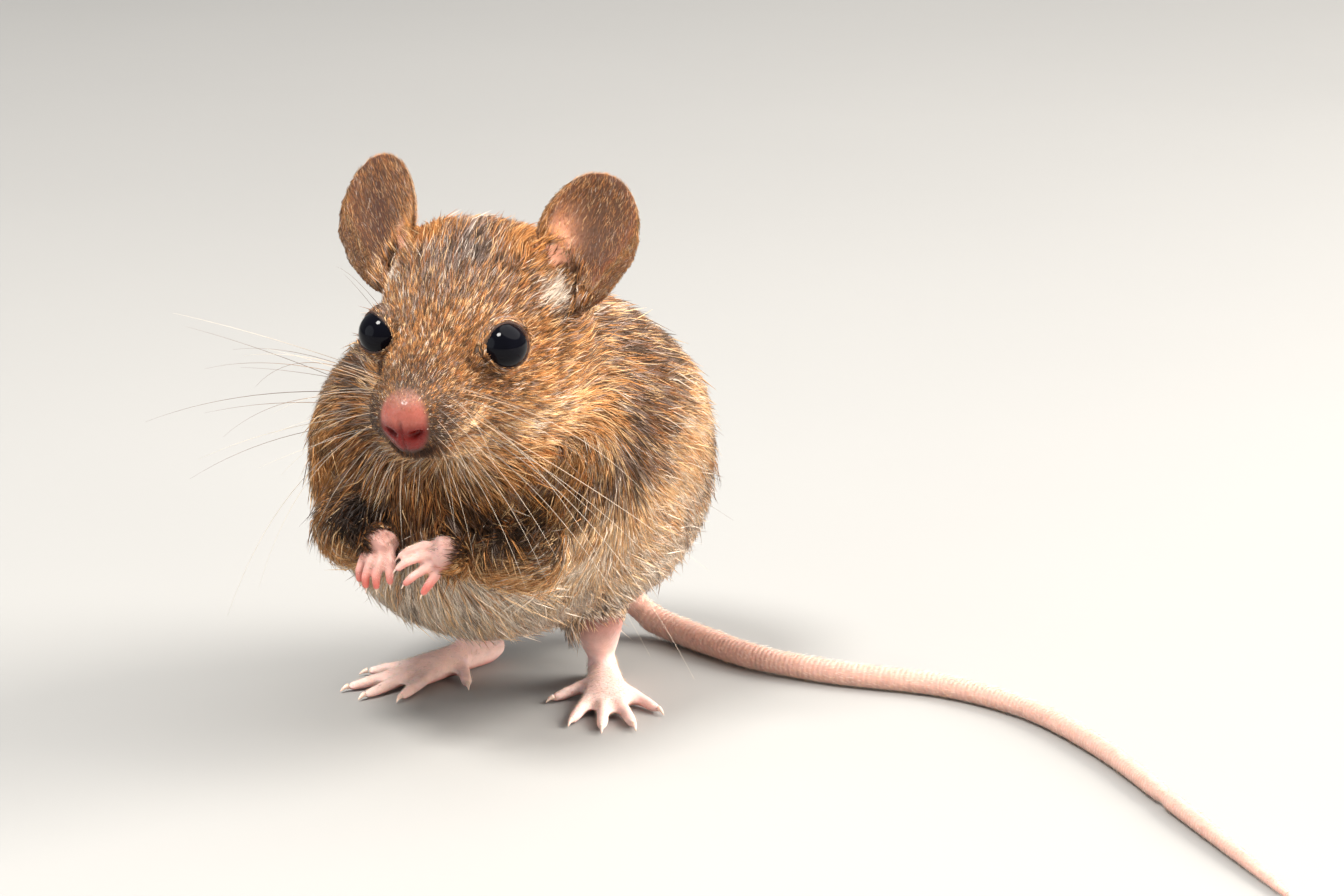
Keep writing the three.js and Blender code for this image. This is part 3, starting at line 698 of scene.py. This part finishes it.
skin_look, tree, surface = material("mouse_skin")
along = layer_of(tree, "tail_along", "Fac")
scales = calculated(tree, "SINE", calculated(tree, "MULTIPLY", along, 2 * pi / SCALE_RING))
grain = calculated(tree, "MULTIPLY_ADD", scales, 0.35, noise(tree, 2600, 4))
dry = patchy(tree, 1500, 0.45, 0.65)
wired(surface, {
    "Base Color": toned(tree, "skin_tone", patchy(tree, 900, 0.8, 1.18, 4)),
    "Roughness": calculated(tree, "MULTIPLY_ADD", layer_of(tree, "wet", "Fac"), -0.28, dry),
    "Normal": bumped(tree, grain, 0.00012, 0.6),
    "Specular IOR Level": 0.3,
    "Subsurface Weight": 0.35,
    "Subsurface Radius": (1.0, 0.4, 0.25),
    "Subsurface Scale": 0.0012,
})
skin.data.materials.clear()
skin.data.materials.append(skin_look)
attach(skin, "root")
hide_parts(*flesh)

# ---- eyes ------------------------------------------------
# Each eye is a bulging, wet ball, so dark that the iris hardly shows. It sits deep between its lids, about
# the middle of the eye's solid.
eye_look, tree, surface = material("mouse_eye")
wired(surface, {
    "Base Color": ramped(tree, patchy(tree, 500, 0, 1), (0.0012, 0.0013, 0.0022), (0.003, 0.003, 0.006)),
    "Roughness": patchy(tree, 900, 0.05, 0.09),
    "Normal": bumped(tree, noise(tree, 700), 0.00001, 0.2),
    "IOR": 1.36,
    "Specular IOR Level": 0.22,
})
for side in ("left", "right"):
    bpy.ops.mesh.primitive_uv_sphere_add(segments=64, ring_count=32, radius=1)
    ball = bpy.context.object
    ball.name = ball.data.name = f"eyeball_{side}"
    ball.data.transform(Matrix.Translation(middle(f"eye_{side}")) @ Matrix.Scale(EYE_RADIUS * MM, 4))
    ball.data.shade_smooth()
    ball.data.materials.append(eye_look)
    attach(ball, "root")
    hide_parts(f"eye_{side}")

# ---- coat: lie of the fur --------------------------------
# Fur starts at the nose and lies away from it: over the crown, down the neck and back to the rump, down the
# flanks, and along each limb to the wrist and ankle. Its length grows from the face to the body.
NECK = from_body([-1, -12, 36])


def laid(way, *names):
    """The lie of the fur, with that of the named parts turned this way."""
    return np.where(marked(*names)[:, None] > 0, way, lie)


lie = unit(skin_at - NECK) + np.array([0, 0.35, -0.25])
lie = laid(unit(skin_at - NOSE_TIP) * 1.2, "head", "lower_jaw", "eye", "nose")
for side, out in (("left", 1), ("right", -1)):
    forearm, hand, upper_arm = (middle(f"{name}_{side}") for name in ("forearm", "hand", "upper_arm"))
    lie = laid(unit(hand - forearm), f"forearm_{side}", f"hand_{side}")
    lie = laid(unit(forearm - upper_arm) + [0, 0, -0.3], f"upper_arm_{side}")
    lie = laid([0.2 * out, 0.75, -0.6], f"thigh_{side}")
    lie = laid([0, 0.5, -0.8], f"shank_{side}")
    lie = laid([0, -1, -0.1], f"foot_{side}")
    lie = laid(unit(middle(f"ear_{side}") - from_head(np.array(EAR_ROOT) * [out, 1, 1])), f"ear_{side}")
tail_line = from_body(TAIL_LINE)
tail_way = unit(np.diff(tail_line, axis=0))
tail_middle = (tail_line[1:] + tail_line[:-1]) / 2
lie = laid(tail_way[np.linalg.norm(skin_at[:, None] - tail_middle, axis=2).argmin(1)], "tail")
places = in_head(skin_at)
flip = sides_of(places)
from_eye = unit(((places * flip - EYE_MIDDLE) * flip) @ head_axes)
by_eye = np.where(reach < EYE_RADIUS + 2.5, np.exp(-np.clip(gap, 0, 90) / 22), 0)
ear_root = near(head_sided, [4.7, 1.6, 11.2], [1.8, 2, 2])  # its inner end, where a tuft stands
lip = near(head_sided, [1, -20.4, -4.3], [2.6, 2.2, 1.1])
upright = np.array([0, 0.3, 1.0]) + [0.35, 0, 0] * flip[:, :1]
lie = lie + from_eye * (1.3 * by_eye)[:, None]
lie = lie + (upright @ head_axes) * (2.5 * ear_root)[:, None]
lie = lie + (np.array([0, -0.1, -1.0]) @ head_axes) * (1.5 * lip)[:, None]
lie = relaxed(lie - (lie * skin_normals).sum(1, keepdims=True) * skin_normals, 14, 0.7)

# ---- coat: tufts -----------------------------------------
# Each hair or lock is a thin closed spike. It leaves the skin flat, bends with the body and ends at the
# coat's outside, where it meets others in a shared tip.
LENGTHS = [(5.8, "trunk", "thigh"), (2.6, "forearm"), (1.0, "shank"), (1.0, "ear", "tail", "hand", "foot")]
GUARD_SHARE = 0.05  # of the hairs outgrow the rest
GUARD_GROWTH = 1.4
LOCK_SPACING = 0.3  # between neighbouring locks, as a share of a hair's length
LOCK_KEYS = [73856093, 19349663, 83492791]  # large primes, which number the locks by their places
ROOT_DEPTH = 0.12 * MM
HUB_DEPTH = 8 * MM  # under a piece's middle, where the directions of its map are taken from
PATCH_SIZE = 0.0015  # of a hair on the map
MUZZLE = 7.5  # from the nose's tip to where the longer hair of the face starts
QUICK = 1.0
skin.data.calc_loop_triangles()
triangles = np.array([t.vertices[:] for t in skin.data.loop_triangles])
corners = skin_at[triangles]
doubled = np.cross(corners[:, 1] - corners[:, 0], corners[:, 2] - corners[:, 0])
areas = np.linalg.norm(doubled, axis=1) / 2 / MM**2
from_nose = distance(skin_at, NOSE_TIP) / MM
ear_base = ear_root * marked("ear", "head")
notch = near(head_sided, [8.2, 0.4, 8.2], [2.8, 2.4, 2.8])
hem = near(body_sided, [10.8, -1.2, 11.4], [4.2, 5.4, 3.6])  # where the belly's fur ends over the leg
inner = near(head_sided, [4.6, -12.4, 4.4], [1.6, 2.2, 1.8])  # between the eye and the nose
bald = eased(nose_like, 0.2, 0.9) * (1 - 0.5 * eased(head[:, 2], 0.6, 2.6))
furry = 1 - np.maximum(relaxed(marked("hand", "foot", "ear", "tail"), 2), bald)
furry = np.maximum(furry, hand_like * cuff)
furry *= 1 - marked("shank", "foot") * eased(high, 11.5, 10)
furry *= 1 - 0.7 * near(body_sided, [10.6, -0.6, 9.9], [3.2, 4.2, 1.9])
furry *= (1 - 0.9 * slit) * (1 - eased(canthus, 0.2, 0.5))
furry = np.where(reach < EYE_RADIUS + 1.6, furry * eased(gap, 2, 6), furry)
furry = np.maximum(furry, eased(ear_base, 0.3, 0.5))
furry *= 1 - 0.95 * eased(concha, 0.25, 0.6)
length = np.interp(from_nose, [0, 3.4, 5, 8, 14, 22, 30], [0.3, 0.42, 0.75, 1.25, 2.0, 3.2, 4.8])
for millimetres, *names in LENGTHS:
    length = np.where(marked(*names) > 0, millimetres, length)
length = np.where(marked("thigh") > 0, np.interp(high, [12, 15], [1.0, 5.0]), length)
length = np.where(hand_like * cuff > 0, 1.3, length)
length = relaxed(length, 12) * (1 - 0.7 * by_eye)
length *= 1 - 0.45 * inner
for region, millimetres in ((notch, 1.1), (hem, 1.3), (ear_base, 3.2)):
    length += region * (millimetres - length)
standing = relaxed(np.interp(length, [0.3, 1, 2, 3.4, 6.2], [0.12, 0.3, 0.8, 1.5, 2.15]), 4)
standing = standing * (1 - 0.35 * inner) * (1 - 0.45 * by_eye) * (1 - 0.6 * notch)
standing = standing + 0.9 * ear_base + 0.4 * lip
length += lip * (1.1 - length)
hair_normals = relaxed(skin_normals, 3)
corners_of_face = [list(p.vertices) for p in skin.data.polygons]
face_ways = unit(np.array([hair_normals[f].mean(0) for f in corners_of_face]))
coat_field = relaxed(coat_mix, 4)
face_field = np.array([coat_field[f].mean(0) for f in corners_of_face])
shell = BVHTree.FromPolygons([Vector(p) for p in skin_at.tolist()], corners_of_face)
dice = np.random.default_rng(7)


def surface_at(points):
    """The nearest places on the skin, the way it faces there and its faces."""
    hits = [shell.find_nearest(p) for p in points.tolist()]
    faces = np.array([h[2] for h in hits])
    return np.array([h[0][:] for h in hits]), face_ways[faces], faces


def sown(weight, per_mm2):
    """How many hairs the weighted faces get by their area, and what reads the skin's values at them."""
    share = weight[triangles].mean(1) * areas
    total = share.sum()
    count = int(total * per_mm2 * QUICK)
    spots = (np.arange(count) + dice.random(count)) / count * total
    face = np.searchsorted(np.cumsum(share), spots).clip(0, len(share) - 1)
    a, b = dice.random((2, count))
    over = a + b > 1
    a[over], b[over] = 1 - a[over], 1 - b[over]
    blend = np.stack([1 - a - b, a, b], 1)

    def at(values):
        picks = values[triangles[face]]
        return (picks * (blend if values.ndim == 1 else blend[..., None])).sum(1)

    return count, at


def ring(centre, forward, outward, r):
    """Three points around each hair."""
    sideways = unit(np.cross(forward, outward))
    above = np.cross(sideways, forward)
    turns = np.array([pi / 2, pi * 7 / 6, pi * 11 / 6])[:, None]
    around = sideways[:, None] * np.cos(turns) + above[:, None] * np.sin(turns)
    return centre[:, None] + r[:, None, None] * around


def spread(roots, up):
    """Where each hair's patch goes on the map: its place about the piece's middle, evened out."""
    hub = roots.mean(0) - unit(up.mean(0)) * HUB_DEPTH
    pole = unit(roots.mean(0) - hub)
    east = unit(np.cross(pole, [0.1, 0.2, 1.0]))
    north = np.cross(pole, east)
    from_hub = unit(roots - hub)
    bend = np.arccos(np.clip(from_hub @ pole, -1, 1))
    flat = unit(np.stack([from_hub @ east, from_hub @ north], 1)) * bend[:, None]
    order = np.empty_like(flat)
    for axis in (0, 1):
        order[np.argsort(flat[:, axis], kind="stable"), axis] = (np.arange(len(flat)) + 0.5) / len(flat)
    return 0.01 + 0.98 * order


def coat(name, weight, per_mm2, width, clump, scatter, bent):
    """One piece of the coat: joined spikes with their colours and their own small patches of the map."""
    count, at = sown(weight, per_mm2)
    roots = at(skin_at)
    up = unit(at(hair_normals))
    way = at(lie)
    way = unit(way - (way * up).sum(1, keepdims=True) * up)
    swing = dice.normal(0, scatter, count)[:, None]
    way = unit(way + np.cross(up, way) * swing)
    guard = np.where(dice.random(count) < GUARD_SHARE, GUARD_GROWTH, 1.0)
    size = at(length) * MM * guard * dice.uniform(0.65, 1.15, count)
    rise = at(standing) * MM * guard * dice.uniform(0.55, 1.12, count)
    middles, middle_up, faces = surface_at(roots + way * (size * 0.5)[:, None])
    onward = unit(middles - roots)
    tips, tip_up, _ = surface_at(middles + onward * (size * 0.5)[:, None])
    middles = middles + middle_up * (rise * 0.62)[:, None]
    tips = tips + tip_up * rise[:, None]

    # Neighbouring tips gather into locks.
    spacing = np.median(size) * LOCK_SPACING
    cells = np.floor(tips / spacing + dice.random(3) * 0.5).astype(np.int64)
    _, lock = np.unique((cells * LOCK_KEYS).sum(1), return_inverse=True)
    in_lock = np.bincount(lock)
    centres = np.stack([np.bincount(lock, tips[:, k]) / in_lock for k in range(3)], 1)[lock]
    pull = (clump * dice.uniform(0.5, 1.0, count))[:, None]
    tips = tips + (centres - tips) * pull
    middles = middles + (centres - tips) * pull * 0.15
    roots = roots - up * ROOT_DEPTH

    # Half of the hairs share their lock's colour. All are darker towards the root, as the roots are and as
    # painted shade deep in the coat, but least where pale; at the ears' bases and the notch before them the
    # roots are lightened, painted light in the shaded crease there.
    radius = width * MM / 2 * dice.uniform(0.7, 1.3, count)
    shares = face_field[faces]
    lock_dice = dice.random(in_lock.size)[lock]
    hair_dice = np.where(dice.random(count) < 0.5, lock_dice, dice.random(count))
    pick = (hair_dice[:, None] > np.cumsum(shares, 1)).sum(1).clip(0, len(PALETTE) - 1)
    hue = PALETTE[pick] * dice.uniform(0.62, 1.34, count)[:, None]
    average = shares @ PALETTE
    hue = hue + (average - hue) * 0.08
    pale = shares[:, 6:7] + 0.7 * shares[:, 2:3]
    root_tone = average * (0.2 + 0.42 * pale + 0.25 * at(ear_base + notch).clip(0, 1)[:, None])
    middle_tone = average * (0.28 + 0.2 * pale) + hue * 0.55
    tip_tone = hue * 1.1
    if bent:
        mid = ring(middles, unit(tips - roots), middle_up, radius)
        verts = np.concatenate([roots[:, None], mid, tips[:, None]], 1)
        tones = np.stack([root_tone] + [middle_tone] * 3 + [tip_tone], 1)
        trios = [[0, 2, 1], [0, 3, 2], [0, 1, 3], [1, 2, 4], [2, 3, 4], [3, 1, 4]]
        patch = [[0, -1], [-1, 0], [0, 0], [1, 0], [0, 1]]
    else:
        low = ring(roots, unit(middles - roots), up, radius)
        verts = np.concatenate([low, tips[:, None]], 1)
        tones = np.stack([middle_tone * 0.8] * 3 + [tip_tone], 1)
        trios = [[0, 1, 3], [1, 2, 3], [2, 0, 3], [0, 2, 1]]
        patch = [[-1, -1], [0, 0], [1, -1], [0, 1]]
    many = verts.shape[1]
    loops = ((np.arange(count) * many)[:, None] + np.array(trios).ravel()).ravel()
    triangles_made = count * len(trios)
    mesh = bpy.data.meshes.new(name)
    mesh.vertices.add(count * many)
    mesh.vertices.foreach_set("co", verts.ravel())
    mesh.loops.add(len(loops))
    mesh.loops.foreach_set("vertex_index", loops)
    mesh.polygons.add(triangles_made)
    mesh.polygons.foreach_set("loop_start", np.arange(triangles_made) * 3)
    mesh.update(calc_edges=True)
    mesh.shade_smooth()
    painted(mesh, "coat_tone", tones.reshape(-1, 3))
    uv = spread(roots, up)[:, None] + np.array(patch) * PATCH_SIZE
    bake = mesh.uv_layers.new(name="OFBake")
    bake.data.foreach_set("uv", uv.reshape(-1, 2)[loops].ravel())
    piece = linked(name, mesh)
    mesh.materials.append(coat_look)
    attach(piece, "root")


coat_look, tree, surface = material("mouse_coat")
wired(surface, {
    "Base Color": toned(tree, "coat_tone", patchy(tree, 700, 0.85, 1.15)),
    "Roughness": patchy(tree, 1800, 0.42, 0.6),
    "Normal": bumped(tree, noise(tree, 4000), 0.00003, 0.4),
    "Specular IOR Level": 0.25,
})
is_head = marked("head", "lower_jaw", "nose", "eye")
limbs = marked("forearm", "shank", "hand")
rest_of = furry * (1 - is_head) * (1 - limbs)
behind = furry * is_head * (from_nose >= MUZZLE)
on_crown = head[:, 1] >= -6
on_top = high > 30
front = body[:, 1] < 0
head_left = head[:, 0] > 0
body_left = body[:, 0] > -1
tops = paw_like * eased(up, -0.2, 0.3) * (1 - up_leg)
ears = relaxed(ear_like, 1) * (1 - 0.75 * middle_of_ear) * (1 - 0.85 * glow)
areas_of_coat = [  # name, where, what is left, hairs to 1 mm2, width, clumping, scatter and if they bend
    ("muzzle", furry * is_head * (from_nose < MUZZLE), None, 95, 0.08, 0.25, 0.25, False),
    ("face", behind * ~on_crown, head_left, 92, 0.09, 0.4, 0.2, True),
    ("crown", behind * on_crown, head_left, 46, 0.115, 0.45, 0.22, True),
    ("back", rest_of * on_top, body_left, 26, 0.14, 0.5, 0.22, True),
    ("chest", rest_of * ~on_top * front, body_left, 22, 0.14, 0.5, 0.22, True),
    ("flank", rest_of * ~on_top * ~front, body_left, 22, 0.14, 0.5, 0.22, True),
    ("limbs", furry * limbs, None, 45, 0.11, 0.4, 0.22, True),
    ("ear_bases", eased(ear_base, 0.25, 0.45), None, 40, 0.11, 0.5, 0.25, True),
    ("ears", ears, None, 46, 0.045, 0.0, 0.25, False),
    ("paws", tops, None, 14, 0.04, 0.0, 0.2, False),
    ("tail", tail_like, None, 7, 0.045, 0.0, 0.2, False),
]
for name, weight, is_left, *settings in areas_of_coat:
    if is_left is None:
        coat(f"coat_{name}", weight, *settings)
    else:
        coat(f"coat_{name}_left", weight * is_left, *settings)
        coat(f"coat_{name}_right", weight * ~is_left, *settings)

# ---- claws -----------------------------------------------
# Five toes on each hind foot and four fingers on each hand end in a small, pale, hooked claw, which springs
# from the top of the toe's tip and curves down to a point.
TOES = [  # splay in degrees, length, distance behind the foremost and outward shift, from the inner toe
    (-56, 5.5, 5, -1.6), (-21, 8.4, 1.2, -1.5), (-5, 9.4, 0.2, -0.4), (10, 9.1, 0.4, 0.8), (32, 7.2, 3, 1.7)
]
FOOT_AT = {1: (6.4, 12.2, 29), -1: (-7.4, 12.6, -22)}  # heel and splay in degrees, left and right
SOLE = 11.1  # from the heel to where the toes are measured from
TOE_HEIGHT = 0.62
TOE_CLAW = (0.9, 0.34)  # length and half of the width
FINGER_CLAW = (0.45, 0.16)
FINGER_ENDS = [  # middle joint and tip of each finger, left hand and then right
    [[2.3, -24.9, 24.2], [0.4, -25.2, 22.9]],
    [[2.1, -25.5, 23], [0.4, -25.8, 21.7]],
    [[2.6, -25.4, 21.4], [1.3, -25.7, 20.1]],
    [[4, -24.7, 20.5], [3.2, -25.2, 19.1]],
    [[-4.1, -25.1, 21.5], [-4.2, -25, 19.5]],
    [[-3, -25.8, 21.1], [-3.1, -25.7, 19.1]],
    [[-1.7, -25.9, 21.2], [-1.8, -25.8, 19.2]],
    [[-0.4, -25.4, 21.6], [-0.4, -25.3, 19.8]],
]
claw_tips = []
for side, (heel_x, heel_y, splay) in FOOT_AT.items():
    for turn, long, behind, out in TOES:
        angle = radians(turn) * side
        ahead = np.array([sin(angle), -cos(angle), 0])
        spot = np.array([out * side, behind - SOLE, TOE_HEIGHT]) + ahead * long
        foot = turned(2, splay)
        claw_tips.append((foot @ spot + [heel_x, heel_y, 0], foot @ ahead, *TOE_CLAW))
for middle_joint, tip in np.array(FINGER_ENDS):
    claw_tips.append((tip, unit(tip - middle_joint), *FINGER_CLAW))
claw_look, tree, surface = material("claw_horn")
wired(surface, {
    "Base Color": ramped(tree, noise(tree, 1400), tone(214, 178, 160), tone(236, 214, 200)),
    "Roughness": patchy(tree, 2000, 0.25, 0.4),
    "Normal": bumped(tree, noise(tree, 3000), 0.00002, 0.3),
    "Subsurface Weight": 0.3,
    "Subsurface Radius": (1.0, 0.5, 0.3),
    "Subsurface Scale": 0.0004,
})


def tube(verts, faces, spine, radii, sides=8):
    """Adds a closed, tapered tube along a spine to the lists."""
    spine = np.asarray(spine, float)
    ways = unit(np.gradient(spine, axis=0))
    aside = unit(np.cross(ways, [0.13, 0.21, 1.0]))
    above = np.cross(aside, ways)
    turns = (np.arange(sides) * 2 * pi / sides)[:, None]
    first = len(verts)
    for spot, a, b, r in zip(spine, aside, above, radii):
        verts += list(spot + r * (np.cos(turns) * a + np.sin(turns) * b))
    last = first + (len(spine) - 1) * sides
    for low in range(first, last, sides):
        for j in range(sides):
            k = (j + 1) % sides
            faces.append((low + j, low + k, low + sides + k, low + sides + j))
    faces.append(tuple(first + j for j in reversed(range(sides))))
    faces.append(tuple(last + j for j in range(sides)))


def made_of(name, verts, faces, look):
    mesh = bpy.data.meshes.new(name)
    mesh.from_pydata([tuple(v) for v in verts], [], faces)
    mesh.shade_smooth()
    mesh.materials.append(look)
    return linked(name, mesh)


verts, faces = [], []
steps = np.linspace(0, 1, 7)
drop = np.array([0, 0, -1.0])
for tip, way, size, girth in claw_tips:
    start = tip - way * 0.25 + [0, 0, 0.05]
    spine = [start + way * size * 1.1 * t + drop * size * 0.55 * t * t for t in steps]
    tube(verts, faces, from_body(spine), girth * MM * np.sqrt(1.02 - steps) * (1 - 0.35 * steps))
claws = made_of("claws", verts, faces, claw_look)
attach(claws, "root")

# ---- whiskers --------------------------------------------
# Long, springy hairs stand in five rows of five on each side of the muzzle, the rear ones longest. Short
# bristles grow under the mouth, and a few over the eyes. Most are dark at the root, and many end pale.
ROWS = COLUMNS = 5
BRISTLES = 11
DROOP = np.array([-0.12, 0.05, -0.36])
whisker_look, tree, surface = material("whisker")
wired(surface, {
    "Base Color": toned(tree, "whisker_tone", patchy(tree, 300, 0.85, 1.15)),
    "Roughness": patchy(tree, 900, 0.3, 0.45),
    "Normal": bumped(tree, noise(tree, 2000), 0.00001, 0.2),
})
dice_whisker = np.random.default_rng(21)
plans = []  # side, root in the head's frame, way, length, radius and share of pale ones
for side in (1, -1):
    for down in np.linspace(0, 1, ROWS):
        for front in np.linspace(0, 1, COLUMNS):
            root = [3.6 - 1.4 * front, -15.8 - 3.4 * front, 1.2 - 3.6 * down]
            way = np.array([1.0, 0.1 - 0.5 * front, 0.5 - 0.75 * down - 0.25 * front])
            way = unit(unit(way + dice_whisker.normal(0, 0.16, 3)) + [0, 0, -0.36 * (side == 1)])
            size = (31 - 21 * front) * dice_whisker.uniform(0.7, 1.05)
            plans.append((side, root, way, size, 0.048 - 0.02 * front, 0.5))
    for k in range(BRISTLES):
        root = [0.7 + 0.33 * k, -20.6 + 0.36 * k, -5.4]
        way = unit(np.array([0.25 + 0.08 * k, -0.3, -0.8]) + dice_whisker.normal(0, 0.14, 3))
        plans.append((side, root, way, dice_whisker.uniform(3.5, 8.0), 0.026, 0.9))
    for root, way in (([5.0, -11.6, 7.4], [0.35, -0.35, 0.9]), ([6.2, -9.6, 7.2], [0.7, 0.1, 0.8])):
        plans.append((side, root, unit(np.array(way)), dice_whisker.uniform(8, 12), 0.026, 0.3))
verts, faces, shades = [], [], []
steps = np.linspace(0, 1, 15)
for side, root, way, size, girth, pale in plans:
    place, up, _, _ = shell.find_nearest(Vector(from_head(np.array(root) * [side, 1, 1])))
    droop = DROOP * dice_whisker.uniform(0.2, 1.6)
    line = [(way * t + droop * t * t) * size * [side, 1, 1] for t in steps]
    spine = np.array(place[:]) + np.array(line) * MM @ head_axes - np.array(up[:]) * 0.2 * MM
    tube(verts, faces, spine, girth * MM * (1 - 0.85 * steps), 5)
    tip_shade = tone(222, 206, 188) if dice_whisker.random() < pale else tone(120, 98, 82)
    root_shade = tone(52, 36, 28) if dice_whisker.random() < 0.6 else tone(170, 134, 100)
    shades += list(np.repeat(tinted(root_shade, (np.clip(steps * 1.4, 0, 1), tip_shade, 1)), 5, 0))
whiskers = made_of("whiskers", verts, faces, whisker_look)
painted(whiskers.data, "whisker_tone", np.array(shades))
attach(whiskers, "root")

# ---- stage -----------------------------------------------
# A wide, pale, plain floor under a lamp in front, a broad one above and one behind, with a small warm one
# low at the mouse's left and a weak, cool one far out at its right.
floor_look, tree, surface = material("floor_paint")
wired(surface, {
    "Base Color": ramped(tree, noise(tree, 6), (0.3, 0.296, 0.289), (0.33, 0.325, 0.317)),
    "Roughness": patchy(tree, 20, 0.6, 0.75),
    "Normal": bumped(tree, noise(tree, 300), 0.0001, 0.2),
})
bpy.ops.mesh.primitive_plane_add(size=8)
floor = bpy.context.object
floor.name = floor.data.name = "floor"
floor.data.materials.append(floor_look)


def softbox(name, place, size, watts, colour, in_eyes=True):
    """A round lamp that faces the mouse; place is in millimetres from the middle of the body."""
    at = from_body(place)
    bpy.ops.object.light_add(type="AREA", location=tuple(at))
    lamp = bpy.context.object
    lamp.name = lamp.data.name = name
    lamp.data.shape = "DISK"
    lamp.data.size = size
    lamp.data.energy = watts
    lamp.data.color = colour
    lamp.visible_glossy = in_eyes
    lamp.rotation_euler = Vector(from_body([0, 0, 35]) - at).to_track_quat("-Z", "Y").to_euler()


softbox("key", [-85, -330, 640], 0.2, 7.4, (1.0, 0.97, 0.92))
softbox("sky", [250, 150, 650], 1.1, 6.0, (1.0, 0.98, 0.95))
softbox("behind", [500, 330, 330], 0.5, 10.0, (1.0, 0.95, 0.88), in_eyes=False)
softbox("low", [430, -190, 110], 0.14, 0.95, (1.0, 0.9, 0.78), in_eyes=False)
softbox("fill", [-450, -500, 180], 0.6, 1.2, (0.9, 0.95, 1.0))
world = bpy.data.worlds.new("studio")
bpy.context.scene.world = world
world.use_nodes = True
sky = world.node_tree.nodes["Background"].inputs
sky["Color"].default_value = (0.86, 0.88, 0.9, 1)
sky["Strength"].default_value = 0.35

# ---- camera ----------------------------------------------
# It looks slightly down on the mouse from the front and its left, from far enough off that near and far
# parts keep their proportions.
AZIMUTH = radians(25)
ELEVATION = radians(15)
FAR = 650
RIGHT_BY = 18.786
UP_BY = 27.848
FOCAL_SHARE = 5882 / 1344  # focal length over the sensor's width
SENSOR = 36
right = np.array([cos(AZIMUTH), sin(AZIMUTH), 0])
level = np.array([sin(AZIMUTH), -cos(AZIMUTH), 0])
back = level * cos(ELEVATION) + [0, 0, sin(ELEVATION)]
upward = np.cross(back, right)
bpy.ops.object.camera_add(location=tuple(from_body(back * FAR + right * RIGHT_BY + upward * UP_BY)))
camera = bpy.context.object
camera.name = "camera"
camera.rotation_euler = Matrix([right, upward, back]).transposed().to_euler()
camera.data.sensor_width = SENSOR
camera.data.lens = SENSOR * FOCAL_SHARE
camera.data.clip_start = 0.01
bpy.context.scene.camera = camera
bpy.context.scene.view_settings.view_transform = "Standard"
